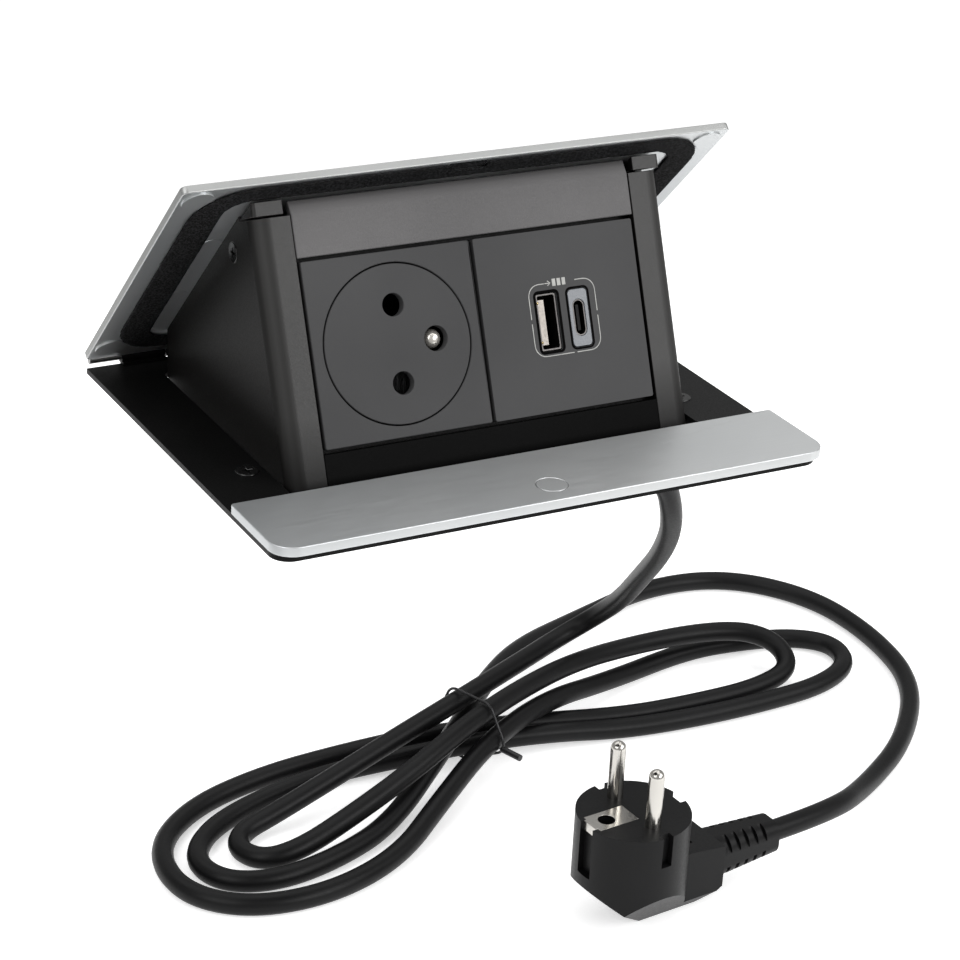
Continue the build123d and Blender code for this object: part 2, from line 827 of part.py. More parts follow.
def outlet_disc():
    """The shuttered disc that the plug pushes in, with its three holes."""
    x, v = outlet_centre
    disc = rod(face_plane, x, v, -disc_face, 0, disc_radius)
    disc += tube(face_plane, x, v, -disc_deep, -disc_face, disc_radius, disc_radius - disc_wall)
    for offset in (-pin_pitch / 2, pin_pitch / 2):
        disc -= rod(face_plane, x, v + offset, -disc_deep, overrun, live_hole_radius)
    return disc - rod(face_plane, x + earth_offset, v, -disc_deep, overrun, earth_hole_radius)


def outlet_base():
    """The moulded body behind the face, with the disc's cavity and the contacts' holes."""
    x, v = outlet_centre
    half = outlet_base_size / 2
    low = (x - half, outlet_base_foot, -outlet_base_deep)
    high = (x + half, v + half, -module_plate)
    body = block(face_plane, low, high)
    floor = -disc_deep - disc_travel - cavity_floor_gap
    body -= rod(face_plane, x, v, floor, overrun, disc_radius + disc_clearance)
    hole = contact_bore_radius + contact_wall + button_clearance
    for offset in (-pin_pitch / 2, pin_pitch / 2):
        body -= rod(face_plane, x, v + offset, floor - contact_length, overrun, hole)
    hole = contact_pin_radius + pin_clearance
    return body - rod(face_plane, x + earth_offset, v, floor - contact_length, overrun, hole)


def live_contacts():
    """Two plain contact tubes behind the disc."""
    x, v = outlet_centre
    top = -disc_deep - disc_travel - cavity_floor_gap
    outer = contact_bore_radius + contact_wall
    return [
        tube(face_plane, x, v + offset, top - contact_length, top, outer, contact_bore_radius)
        for offset in (-pin_pitch / 2, pin_pitch / 2)
    ]


def earth_pin():
    """The bright earth pin with its rounded tip just inside the disc's hole."""
    x, v = outlet_centre
    start = -disc_deep - disc_travel - cavity_floor_gap - contact_length
    end = -earth_pin_recess
    pin = rod(face_plane, x + earth_offset, v, start, end - contact_pin_radius, contact_pin_radius)
    tip = face_plane * Pos(x + earth_offset, v, end - contact_pin_radius) * Sphere(contact_pin_radius)
    return pin + tip


def disc_spring():
    x, v = outlet_centre
    floor = -disc_deep - disc_travel - cavity_floor_gap
    return tube(
        face_plane, x, v, floor, -disc_face, disc_spring_radius, disc_spring_radius - disc_spring_wall
    )


def outlet_terminals():
    """Three screw terminals on the back of the outlet's body."""
    x, v = outlet_centre
    blocks = []
    back = -outlet_base_deep
    for offset in (-terminal_width - moving_gap, 0, terminal_width + moving_gap):
        low = (x + offset - terminal_width / 2, v + terminal_height / 2, back - terminal_deep)
        high = (x + offset + terminal_width / 2, v + terminal_height * 3 / 2, back)
        piece = block(face_plane, low, high)
        middle = (low[1] + high[1]) / 2
        piece -= rod(face_plane, x + offset, middle, back - terminal_deep, back - terminal_deep / 3, wire_diameter / 2)
        blocks.append(piece)
    return blocks


# Charger module
def charger_cover():
    """The square face plate with the two port openings."""
    x = module_centre_x
    v = module_size / 2
    plate = rounded_plate(face_plane, module_size, module_size, module_edge_radius, -module_plate, 0, x, v)
    deep = -module_plate - overrun
    plate -= port_hole(usb_a_x, usb_a_wide, usb_a_tall, usb_port_corner, deep, overrun)
    plate -= port_hole(usb_c_x, usb_c_surround_wide, usb_c_surround_tall, usb_c_surround_radius, deep, overrun)
    return plate


def port_hole(x, wide, tall, radius, low, high):
    return rounded_plate(face_plane, wide, tall, radius, low, high, x, usb_row_height)


def usb_a_shell():
    """The bright folded shell of the larger port, closed at its back."""
    wide = usb_a_wide - 2 * usb_fit
    tall = usb_a_tall - 2 * usb_fit
    outer = port_hole(usb_a_x, wide, tall, usb_port_corner, -usb_a_deep, -usb_recess)
    bore = port_hole(
        usb_a_x, wide - 2 * usb_a_wall, tall - 2 * usb_a_wall, usb_a_wall, -usb_a_deep + usb_a_wall, overrun
    )
    return outer - bore


def usb_a_tongue():
    """The contact board inside the larger port, on the left of the opening."""
    side = usb_a_x - usb_a_wide / 2 + usb_fit + usb_a_wall
    low_v = usb_row_height - usb_a_tongue_tall / 2
    low = (side + contact_gap, low_v, -usb_a_deep + usb_a_wall)
    high = (side + contact_gap + usb_a_tongue_wide, low_v + usb_a_tongue_tall, -usb_recess * 3)
    return block(face_plane, low, high)


def usb_c_surround():
    """The grey moulded surround of the smaller port."""
    wide = usb_c_surround_wide - 2 * usb_fit
    tall = usb_c_surround_tall - 2 * usb_fit
    body = port_hole(usb_c_x, wide, tall, usb_c_surround_radius, -module_plate, 0)
    return body - port_hole(usb_c_x, usb_c_wide, usb_c_tall, usb_c_wide * slot_round_share, -overrun * 2, overrun)


def usb_c_shell():
    """The rounded shell of the smaller port, closed at its back."""
    wide = usb_c_wide - 2 * usb_fit / 3
    tall = usb_c_tall - 2 * usb_fit / 3
    outer = port_hole(usb_c_x, wide, tall, wide * slot_round_share, -usb_c_deep, -usb_recess / 2)
    bore_wide = wide - 2 * usb_c_wall
    bore = port_hole(
        usb_c_x, bore_wide, tall - 2 * usb_c_wall, bore_wide * slot_round_share, -usb_c_deep + usb_c_wall, overrun
    )
    return outer - bore


def usb_c_tongue():
    low = (usb_c_x - usb_c_tongue_wide / 2, usb_row_height - usb_c_tongue_tall / 2, -usb_c_deep + usb_c_wall)
    high = (usb_c_x + usb_c_tongue_wide / 2, usb_row_height + usb_c_tongue_tall / 2, -usb_recess * 2)
    return block(face_plane, low, high)


def charger_housing():
    """The open box behind the charger's face, closed at its back."""
    x = module_centre_x
    v = module_size / 2
    half = charger_size / 2
    outer = block(face_plane, (x - half, v - half, -charger_deep), (x + half, v + half, -module_plate))
    inner = half - charger_wall
    hollow_low = (x - inner, v - inner, -charger_deep + charger_wall)
    return outer - block(face_plane, hollow_low, (x + inner, v + inner, overrun))


def charger_board():
    """The circuit board across the charger's box."""
    x = module_centre_x
    v = module_size / 2
    half = charger_size / 2 - charger_wall - board_margin / 2
    return block(face_plane, (x - half, v - half, -board_start - board_thickness), (x + half, v + half, -board_start))


def board_parts():
    """A transformer, a capacitor and an inductor standing on the board's back."""
    x = module_centre_x
    v = module_size / 2
    back = -board_start - board_thickness
    half = transformer_size / 2
    shift = x - transformer_shift_share * charger_size
    low = (shift - half, v - half, back - transformer_deep)
    transformer = block(face_plane, low, (shift + half, v + half, back))
    cap_x = x + charger_size / 2 - charger_wall - board_part_edge - capacitor_radius
    capacitor = rod(face_plane, cap_x, v - transformer_size / 2, back - capacitor_length, back, capacitor_radius)
    coil = tube(
        face_plane, cap_x, v + transformer_size / 2, back - capacitor_length, back, capacitor_radius, capacitor_radius / 2
    )
    return [transformer, capacitor, coil]


# Under the flange
def rear_bracket():
    """The folded plate behind the wedge that carries the cord's gland and the terminals."""
    low = -bracket_drop
    plate = block(Plane.XY, (bracket_left_x, bracket_y, low), (bracket_right_x, bracket_y + bracket_wall, 0))
    tab_low = (gland_x, gland_y - gland_plate_half, gland_z - gland_plate_half)
    tab_high = (gland_x + bracket_wall, bracket_y, gland_z + gland_plate_half)
    tab = block(Plane.XY, tab_low, tab_high)
    turn = gland_axis()
    hole = rod(turn, 0, 0, -overrun, bracket_wall + overrun, gland_thread_radius + button_clearance)
    frame = plate + tab - hole
    for x in bracket_screw_places():
        hole = Plane.XZ.offset(-bracket_y - bracket_wall)
        frame -= rod(hole, x, block_height_centre(), -overrun, bracket_wall + overrun, bracket_screw_radius + button_clearance)
    return frame


def gland_axis():
    return Plane(origin=(gland_x, gland_y, gland_z), x_dir=(0, 1, 0), z_dir=(1, 0, 0))


def block_height_centre():
    return gland_z


def bracket_screw_places():
    reach = block_width / 2 - bracket_screw_inset
    return [block_x - reach, block_x + reach]


def gland_body():
    """The gland's threaded stem through the bracket and its hexagon."""
    plane = gland_axis()
    hex_radius = gland_hex_flats / sqrt(3)
    start = bracket_wall
    nut = extrude(plane.offset(start) * RegularPolygon(hex_radius, 6), amount=gland_hex_length)
    stem = rod(plane, 0, 0, start - gland_thread_length, start, gland_thread_radius)
    return nut + stem - rod(plane, 0, 0, -gland_thread_length * 2, gland_thread_length * 3, cord_radius + contact_gap / 2)


def gland_dome():
    """The domed nut that grips the cord."""
    plane = gland_axis()
    start = bracket_wall + gland_hex_length
    sleeve = rod(plane, 0, 0, start, start + gland_dome_length, gland_dome_radius)
    tip = sleeve.faces().sort_by(Axis.X)[-1].edges()
    sleeve = fillet(tip, gland_dome_radius * gland_dome_share)
    return sleeve - rod(plane, 0, 0, start - overrun, start + gland_dome_length + overrun, cord_radius + contact_gap / 2)


def gland_locknut():
    plane = gland_axis()
    hex_radius = gland_hex_flats / sqrt(3)
    nut = extrude(plane.offset(-gland_nut_length) * RegularPolygon(hex_radius, 6), amount=gland_nut_length)
    return nut - rod(plane, 0, 0, -gland_thread_length, gland_thread_length, gland_thread_radius + pin_clearance)


def terminal_box():
    """The closed box where the cord's wires meet the leads to the moving sockets."""
    half = block_width / 2
    middle = block_height_centre()
    low = (block_x - half, bracket_y - block_deep, middle - block_height / 2)
    high = (block_x + half, bracket_y, middle + block_height / 2)
    box = block(Plane.XY, low, high)
    for x in bracket_screw_places():
        plane = Plane.XZ.offset(-bracket_y)
        box -= rod(plane, x, middle, -overrun, block_deep / 2, bracket_screw_radius + button_clearance)
    return box


def terminal_screws():
    """Two screws that hold the terminal box to the bracket, put in from behind."""
    plane = Plane(origin=(0, bracket_y + bracket_wall, 0), x_dir=(-1, 0, 0), z_dir=(0, 1, 0))
    screws = []
    for x in bracket_screw_places():
        screw = rod(plane, -x, block_height_centre(), -block_deep / 2, 0, bracket_screw_radius)
        screw += rod(plane, -x, block_height_centre(), 0, bracket_wall, bracket_screw_head)
        screws.append(screw)
    return screws


def terminal_cable():
    """The cord's inner end, from the gland's stem to the terminal box."""
    start = block_x + block_width / 2 - gland_x
    return rod(gland_axis(), 0, 0, start, bracket_wall, cord_radius)


# Plug
def plug_frame():
    """The plug's own axes: X along its strain relief, Z up, from the floor under its pins."""
    turn = radians(plug_turn)
    return Plane(origin=(plug_x, plug_y, floor_z), x_dir=(cos(turn), sin(turn), 0), z_dir=(0, 0, 1))


def plug_side_outline():
    """The plug's side view: shoulder, keel, neck and face."""
    neck_low = plug_axis_height - relief_start_half
    return [
        (-plug_radius, plug_height),
        (-plug_radius, plug_shoulder_height),
        (plug_keel_start, 0),
        (plug_keel_end, 0),
        (plug_neck_end, neck_low),
        (plug_neck_end, plug_axis_height + relief_start_half),
        (plug_radius, plug_neck_top),
        (plug_radius, plug_height),
    ]


def plug_front_outline():
    """The plug's end view, drawn in below its shoulder to a narrow keel."""
    half = plug_radius
    low = plug_keel_half_width
    return [
        (-half, plug_height),
        (-half, plug_shoulder_height),
        (-low, 0),
        (low, 0),
        (half, plug_shoulder_height),
        (half, plug_height),
    ]


def plug_body():
    """The moulded body: a round head over a keel, with key grooves and clip slots."""
    frame = plug_frame()
    head = rod(frame, 0, 0, 0, plug_height, plug_radius)
    neck = block(frame, (0, -plug_neck_half_width, 0), (plug_neck_end, plug_neck_half_width, plug_neck_top))
    upright = Plane(origin=frame.origin, x_dir=frame.x_dir, z_dir=-frame.y_dir)
    side = extrude(upright.offset(-plug_radius) * Polygon(*plug_side_outline(), align=None), amount=2 * plug_radius)
    across = Plane(origin=frame.origin, x_dir=frame.y_dir, z_dir=frame.x_dir)
    front = extrude(
        across.offset(-plug_radius) * Polygon(*plug_front_outline(), align=None), amount=plug_radius + plug_neck_end
    )
    body = (head + neck) & side & front
    top = plug_height + overrun
    for side in (-1, 1):
        edge = side * plug_radius
        inner = side * (plug_radius - plug_key_depth)
        low_y, high_y = sorted((inner, edge + side * overrun))
        half = plug_key_width / 2
        body -= block(frame, (-half, low_y, plug_height - plug_key_drop), (half, high_y, top))
        half = plug_clip_width / 2
        low_x, high_x = sorted((side * (plug_radius - plug_clip_inset), edge + side * overrun))
        body -= block(frame, (low_x, -half, plug_height - plug_clip_depth), (high_x, half, top))
    body -= block(frame, *plug_earth_plate_space(plug_clip_thickness))
    depth = plug_height - plug_pin_length
    return body - rod(frame, plug_earth_centre, 0, depth, top, plug_earth_hole_radius)


def plug_earth_plate_space(thick):
    """The corners of the shallow bed that holds the earth socket's plate."""
    half = plug_earth_plate_width / 2
    front = -plug_radius + plug_clip_inset
    return ((front, -half, plug_height - thick), (front + plug_earth_plate_length, half, plug_height))


def plug_earth_plate():
    """The bright plate round the earth hole, bent down over the body's edge."""
    frame = plug_frame()
    plate = block(frame, *plug_earth_plate_space(plug_clip_thickness))
    half = plug_clip_width / 2
    edge = -plug_radius + plug_clip_inset
    low = (edge - plug_clip_thickness, -half, plug_height - plug_clip_leg)
    plate += block(frame, low, (edge, half, plug_height))
    return plate - rod(frame, plug_earth_centre, 0, 0, plug_height + overrun, plug_earth_hole_radius)


def plug_side_clip():
    """The earth clip in the slot on the cord's side."""
    half = plug_clip_width / 2
    edge = plug_radius - plug_clip_inset
    low = (edge, -half, plug_height - plug_clip_depth)
    return block(plug_frame(), low, (edge + plug_clip_thickness, half, plug_height - plug_clip_thickness))


def plug_pins():
    """The two bright round pins with domed tips."""
    frame = plug_frame()
    pins = []
    for side in (-1, 1):
        y = side * pin_pitch / 2
        end = plug_height + plug_pin_length - plug_pin_radius
        pin = rod(frame, 0, y, plug_height, end, plug_pin_radius)
        pins.append(pin + frame * Pos(0, y, end) * Sphere(plug_pin_radius))
    return pins


def strain_relief():
    """The tapered, slotted sleeve where the cord enters the plug."""
    frame = plug_frame()
    start = frame * Pos(plug_neck_end, 0, plug_axis_height) * Rot(0, 90, 0)
    end = frame * Pos(plug_neck_end + relief_length, 0, plug_axis_height) * Rot(0, 90, 0)
    wide = RectangleRounded(2 * relief_start_half, 2 * relief_start_half, relief_start_half * relief_corner_share)
    slim = RectangleRounded(2 * relief_end_half, 2 * relief_end_half, relief_end_half * relief_corner_share)
    sleeve = loft([start * wide, end * slim])
    turned = frame * Pos(0, 0, plug_axis_height) * Rot(relief_slot_turn, 0, 0)
    half = relief_slot_width / 2
    for i in range(relief_slots):
        x = relief_slot_pitch * (i + 1)
        taper = relief_start_half + (relief_end_half - relief_start_half) * x / relief_length
        ridge = taper * (relief_corner_share + (1 - relief_corner_share) * sqrt(2))
        for side in (-1, 1):
            near, far = sorted((side * (ridge - relief_slot_depth), side * (ridge + overrun)))
            low_x = plug_neck_end + x - half
            high_x = plug_neck_end + x + half
            sleeve -= slot_block(turned, (low_x, near, -relief_slot_half), (high_x, far, relief_slot_half))
            sleeve -= slot_block(turned, (low_x, -relief_slot_half, near), (high_x, relief_slot_half, far))
    return sleeve


def slot_block(place, low, high):
    """A box between two corners, in the axes of a place that is already turned."""
    size = [high[i] - low[i] for i in range(3)]
    centre = [(high[i] + low[i]) / 2 for i in range(3)]
    return place * Pos(*centre) * Box(*size)


# Cord
def tube_along(points, radii, radius):
    """A round tube on straight runs joined by tangent arcs."""
    path = FilletPolyline(*points, radius=radii)
    section = Plane(origin=path.position_at(0), z_dir=path.tangent_at(0)) * Circle(radius)
    return sweep(section, path=path), path


def bend_radii(points):
    """The largest arc that each corner's two runs leave room for."""
    radii = []
    for before, corner, after in zip(points, points[1:], points[2:]):
        one = Vector(*corner) - Vector(*before)
        two = Vector(*after) - Vector(*corner)
        turn = one.get_angle(two)
        radii.append(corner_share * min(one.length, two.length) / tan(radians(turn / 2)))
    return radii


def between(a, b):
    return tuple((p + q) / 2 for p, q in zip(a, b))


def on_floor(corners):
    low = floor_z + cord_radius
    return [(x, y, low + lift) for x, y, lift in corners]


def cord_route():
    """The whole cord's corners, and where its free drop, its hank and its tail begin."""
    mouth = plug_neck_end + relief_length
    lead = plug_frame().from_local_coords((mouth + relief_lead, 0, plug_axis_height))
    end = plug_frame().from_local_coords((mouth, 0, plug_axis_height))
    start = [(gland_x + bracket_wall, gland_y, gland_z)]
    points = start + drop_corners + on_floor(hank_corners) + on_floor(tail_corners) + [tuple(lead), tuple(end)]
    first = len(start) + len(drop_corners)
    second = first + len(hank_corners)
    return points, first, second


def cord_pieces():
    """Three tubes that meet face to face in the middle of a straight run."""
    points, first, second = cord_route()
    radii = bend_radii(points)
    pieces = []
    for low, high in ((0, first), (first, second), (second, len(points))):
        run = points[low:high]
        bends = radii[max(low - 1, 0) : high - 1]
        if low > 0:
            run = [between(points[low - 1], points[low])] + run
        if high < len(points):
            run = run + [between(points[high - 1], points[high])]
        bends = bends[: len(run) - 2]
        pieces.append(tube_along(run, bends, cord_radius))
    print("bend radii", [round(r, 1) for r in radii])
    return pieces


def least_gap(paths):
    """The smallest room between two stretches of the cord that aren't neighbours."""
    spots = []
    along = 0
    for path in paths:
        count = max(2, round(path.length / cord_sample_step))
        for i in range(count):
            spots.append((along + path.length * i / count, path.position_at(i / count)))
        along += path.length
    least = along
    for i, (one_at, one) in enumerate(spots):
        for two_at, two in spots[i + 1 :]:
            if two_at - one_at > cord_same_stretch:
                least = min(least, (one - two).length)
    return least - cord_diameter


def cord_tie():
    """The wire round the hank's middle, with its ends twisted together in front."""
    across = Vector(*tie_side_direction).normalized()
    plane = Plane(origin=(*tie_place, floor_z + cord_radius), x_dir=across, z_dir=across.cross(Vector(0, 0, 1)))
    corners = [plane.from_local_coords((x, z, 0)) for x, z in tie_corners]
    path = FilletPolyline(*corners, close=True, radius=tie_bend)
    section = Plane(origin=path.position_at(0), z_dir=path.tangent_at(0)) * Circle(tie_wire_radius)
    wire = sweep(section, path=path)
    knot_start = plane.from_local_coords((tie_corners[-1][0] + tie_bend / 2, tie_corners[-1][1], 0))
    out = Plane(origin=knot_start, z_dir=-across)
    return wire + rod(out, 0, 0, 0, tie_knot_length, tie_knot_radius)


def save(name, shape):
    """Writes one node: a single solid, or a group of separate ones."""
    pieces = list(shape) if isinstance(shape, (list, tuple)) else [shape]
    solids = []
    for piece in pieces:
        solids += piece.solids()
    made = solids[0] if len(solids) == 1 else Compound(children=[Solid(s.wrapped) for s in solids])
    made.label = name
    export_step(made, "parts/" + name + ".step")
    print(name, len(solids), round(sum(solid.volume for solid in solids), 1))


os.makedirs("parts", exist_ok=True)

# The frame under and in front of the lid
save("base_flange", flange())
save("frame_collar", collar())
save("flange_screws", flange_screws())
save("front_strip", front_strip())
save("strip_bed", strip_bed())
save("hinge_pin", hinge_pin())
save("hinge_springs", hinge_springs())
save("push_button", push_button())
save("button_spring", button_spring())
save("lifter_bar", lifter())
save("lifter_pin", lifter_pin())

# The lid and the wedge that swings with it
save("lid_panel", lid_panel())
save("lid_gasket", lid_gasket())
save("lid_buffers", lid_marks())
save("hinge_leaves", hinge_leaves())
left_panel, right_panel = both_sides(side_panel())
save("side_panel_left", left_panel)
save("side_panel_right", right_panel)
left_cap, right_cap = both_sides(corner_cap())
save("corner_cap_left", left_cap)
save("corner_cap_right", right_cap)
save("front_rail", front_rail())
save("body_floor", body_floor())
save("stop_pads", stop_pads())
save("rear_wall", rear_wall())
save("top_trim", top_trim())
save("module_frame", module_frame())
save("body_screws", body_screws())

# The power outlet
save("outlet_cover", outlet_cover())
save("outlet_disc", outlet_disc())
save("outlet_base", outlet_base())
save("live_contacts", live_contacts())
save("earth_pin", earth_pin())
save("disc_spring", disc_spring())
save("outlet_terminals", outlet_terminals())

# The charger
save("charger_cover", charger_cover())
save("charger_housing", charger_housing())
save("charger_board", charger_board())
save("board_parts", board_parts())
save("usb_a_shell", usb_a_shell())
save("usb_a_tongue", usb_a_tongue())
save("usb_c_surround", usb_c_surround())
save("usb_c_shell", usb_c_shell())
save("usb_c_tongue", usb_c_tongue())

# Behind and below the desk
save("rear_bracket", rear_bracket())
save("gland_body", gland_body())
save("gland_dome", gland_dome())
save("gland_locknut", gland_locknut())
save("terminal_box", terminal_box())
save("terminal_screws", terminal_screws())
save("terminal_cable", terminal_cable())

# Plug and cord
save("plug_body", plug_body())
save("plug_pins", plug_pins())
save("plug_earth_plate", plug_earth_plate())
save("plug_side_clip", plug_side_clip())
save("strain_relief", strain_relief())
tubes = cord_pieces()
for name, (cord, path) in zip(("cord_drop", "cord_hank", "cord_tail"), tubes):
    save(name, cord)
    section_volume = pi * cord_radius * cord_radius * path.length
    print(name, "length", round(path.length, 1), "volume share", round(cord.volume / section_volume, 4))
gap = least_gap([path for cord, path in tubes])
print("least gap between passes", round(gap, 2), "wanted over", cord_gap_wanted)
save("cord_tie", cord_tie())
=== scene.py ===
import json
import math

import bmesh
import bpy
from mathutils import Matrix, Vector, noise

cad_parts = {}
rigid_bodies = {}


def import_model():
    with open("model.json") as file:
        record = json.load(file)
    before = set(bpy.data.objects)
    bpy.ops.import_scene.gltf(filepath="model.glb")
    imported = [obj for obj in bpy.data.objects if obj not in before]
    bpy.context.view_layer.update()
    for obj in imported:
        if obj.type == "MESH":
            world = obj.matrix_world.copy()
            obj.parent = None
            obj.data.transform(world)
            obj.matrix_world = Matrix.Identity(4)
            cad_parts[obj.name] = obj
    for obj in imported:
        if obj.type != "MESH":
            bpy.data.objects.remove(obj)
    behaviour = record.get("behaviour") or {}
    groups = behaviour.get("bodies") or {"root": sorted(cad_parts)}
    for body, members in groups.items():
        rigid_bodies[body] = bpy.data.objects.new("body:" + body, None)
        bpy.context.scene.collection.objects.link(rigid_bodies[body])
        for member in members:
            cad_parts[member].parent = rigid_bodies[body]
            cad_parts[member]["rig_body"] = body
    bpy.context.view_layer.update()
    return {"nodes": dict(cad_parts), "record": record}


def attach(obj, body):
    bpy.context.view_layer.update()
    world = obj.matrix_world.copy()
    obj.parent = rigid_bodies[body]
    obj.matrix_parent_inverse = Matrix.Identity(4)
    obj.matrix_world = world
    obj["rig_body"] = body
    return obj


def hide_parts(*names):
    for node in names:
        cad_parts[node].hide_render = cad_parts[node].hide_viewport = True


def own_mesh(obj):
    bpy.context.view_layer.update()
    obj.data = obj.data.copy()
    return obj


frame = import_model()
cadNodes = frame["nodes"]
print("frame loaded,", len(cadNodes), "nodes")

mm = 0.001

# Camera, matched to the 45 mm faces and the flange's edges
cameraPlace = {
    "at": (-0.298481, -0.553947, 0.269888),
    "yaw": -29.182,
    "pitch": -24.511,
    "roll": 2.883,
    "lens": 101.05,
    "sensor": 36,
    "nearest": 0.02,
}


def buildCamera(place):
    yaw, pitch, roll = (math.radians(place[k]) for k in ("yaw", "pitch", "roll"))
    ahead = Vector((math.sin(-yaw) * math.cos(pitch), math.cos(yaw) * math.cos(pitch), math.sin(pitch)))
    right = ahead.cross(Vector((0, 0, 1))).normalized()
    up = right.cross(ahead)
    side = right * math.cos(roll) + up * math.sin(roll)
    top = up * math.cos(roll) - right * math.sin(roll)
    camera = bpy.data.objects.new("camera", bpy.data.cameras.new("camera"))
    camera.data.lens = place["lens"]
    camera.data.sensor_width = place["sensor"]
    camera.data.clip_start = place["nearest"]
    turned = Matrix((side, top, -ahead)).transposed().to_4x4()
    camera.matrix_world = Matrix.Translation(place["at"]) @ turned
    bpy.context.scene.collection.objects.link(camera)
    bpy.context.scene.camera = camera


buildCamera(cameraPlace)

# Cord, traced end to end: X, Y in mm and how far its middle is above its resting height
cordRoute = {
    "diameter": 6.8,
    "floor": -185.0,
    "drop": [
        (54.5, 46.5, -41), (77, 46.5, -41), (98, 46, -52), (110, 57, -74), (123, 81, -98),
        (134, 110, -123), (142.5, 134, -144), (141, 148, -157), (129, 151, -164), (110, 142, -164.4),
    ],
    "hank": [
        (79, 127, 17.2), (52, 118, 14), (28, 112, 9), (4, 108, 2.5), (-10, 105, 0), (-14, 96, 0),
        (-9, 87, 0.5), (3, 86, 2.5), (20, 91, 5.5), (44, 97, 12.4), (71, 110, 17), (98, 124, 17.2),
        (130, 141, 13), (160, 149, 9.5), (186, 148, 9.5), (203, 143, 9), (211, 134, 6), (209, 124, 1.5),
        (192, 119.5, 0), (166, 119, 0), (138, 121, 0), (104, 128, 1.6), (70, 133.5, 2), (40, 136.5, 0),
        (10, 134, 0), (-18, 125, 0), (-37, 107, 0), (-39, 82, 0), (-24, 66, 0), (2, 63, 0),
        (30, 73, 0), (53, 91, 3.6), (79, 109, 9.6), (110, 126, 9.9), (146, 143, 1), (184, 153, 0),
        (208, 151, 0), (226, 146, 0), (236, 136, 0), (232, 121, 0), (214, 112, 0), (187, 110, 0),
        (160, 110.5, 0), (134, 113.5, 0), (110, 118, 2), (84, 122.5, 2), (57, 126.5, 0), (30, 127, 0),
        (1, 120, 0), (-19, 110, 0), (-29, 96, 0), (-25, 82, 0), (-10, 76, 0), (12, 80, 0),
        (36, 91, 0), (62, 110, 8.6), (80, 127, 9.4), (98, 146, 9.4), (122, 166, 8),
    ],
    "tail": [
        (160, 188, 1), (197, 201.8, 0), (229, 197, 0), (250, 171, 0),
        (253.4, 137, 0), (246, 101, 0), (219, 69, 0), (188, 48, 1),
    ],
    "plugLead": [(160.63, 29.67, -173), (134.75, 27.18, -173)],
    "length": 2.05,
    "order": 3,
    "curveSteps": 10,
    "bevelSteps": 6,
}


def buildCord(route):
    rest = route["floor"] + route["diameter"] / 2
    points = list(route["drop"])
    points += [(x, y, rest + lift) for x, y, lift in route["hank"] + route["tail"]]
    points += route["plugLead"]
    curve = bpy.data.curves.new("cord", "CURVE")
    curve.dimensions = "3D"
    # the tube's radius sits on the points, so that the curve's bounds are those of the tube
    curve.bevel_depth = 1.0
    curve.bevel_resolution = route["bevelSteps"]
    curve.resolution_u = route["curveSteps"]
    curve.use_fill_caps = True
    spline = curve.splines.new("NURBS")
    spline.points.add(len(points) - 1)
    for spot, (x, y, z) in zip(spline.points, points):
        spot.co = (x * mm, y * mm, z * mm, 1)
        spot.radius = route["diameter"] / 2 * mm
    spline.order_u = route["order"]
    spline.use_endpoint_u = True
    spline.use_smooth = True
    cord = bpy.data.objects.new("cordLine", curve)
    bpy.context.scene.collection.objects.link(cord)
    return cord


cord = buildCord(cordRoute)
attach(cord, "frame")
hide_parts("cord_drop", "cord_hank", "cord_tail")
print("camera and cord made")

# Materials; a look that leaves a value out takes it from plainLook
noiseRoughness = 0.55
driftEnds = (0.3, 0.7)
plainLook = {
    "driftScale": 25, "driftDetail": 2, "stretch": (1, 1, 1), "grainScale": 900, "grainDetail": 4,
    "metal": 0, "specular": 0.5, "bump": 0.15, "bumpDepth": 0.00008,
}


def startMaterial(name):
    material = bpy.data.materials.new(name)
    material.use_nodes = True
    tree = material.node_tree
    shader = tree.nodes["Principled BSDF"]
    where = tree.nodes.new("ShaderNodeTexCoord")
    return material, tree, shader, where.outputs["Object"]


def addNoise(tree, where, scale, detail, stretch=(1, 1, 1)):
    mapping = tree.nodes.new("ShaderNodeMapping")
    mapping.inputs["Scale"].default_value = stretch
    tree.links.new(where, mapping.inputs["Vector"])
    cloud = tree.nodes.new("ShaderNodeTexNoise")
    cloud.inputs["Scale"].default_value = scale
    cloud.inputs["Detail"].default_value = detail
    cloud.inputs["Roughness"].default_value = noiseRoughness
    tree.links.new(mapping.outputs["Vector"], cloud.inputs["Vector"])
    return cloud.outputs["Fac"]


def addRamp(tree, factor, stops):
    ramp = tree.nodes.new("ShaderNodeValToRGB")
    bar = ramp.color_ramp.elements
    while len(bar) < len(stops):
        bar.new(0.5)
    for mark, (at, colour) in zip(bar, stops):
        mark.position = at
        mark.color = (*colour, 1)
    tree.links.new(factor, ramp.inputs["Fac"])
    return ramp.outputs["Color"]


def addRange(tree, factor, low, high, fromLow=0.3, fromHigh=0.7):
    spread = tree.nodes.new("ShaderNodeMapRange")
    spread.inputs["From Min"].default_value = fromLow
    spread.inputs["From Max"].default_value = fromHigh
    spread.inputs["To Min"].default_value = low
    spread.inputs["To Max"].default_value = high
    tree.links.new(factor, spread.inputs["Value"])
    return spread.outputs["Result"]


def addBump(tree, shader, height, strength, depth):
    bump = tree.nodes.new("ShaderNodeBump")
    bump.inputs["Strength"].default_value = strength
    bump.inputs["Distance"].default_value = depth
    tree.links.new(height, bump.inputs["Height"])
    tree.links.new(bump.outputs["Normal"], shader.inputs["Normal"])


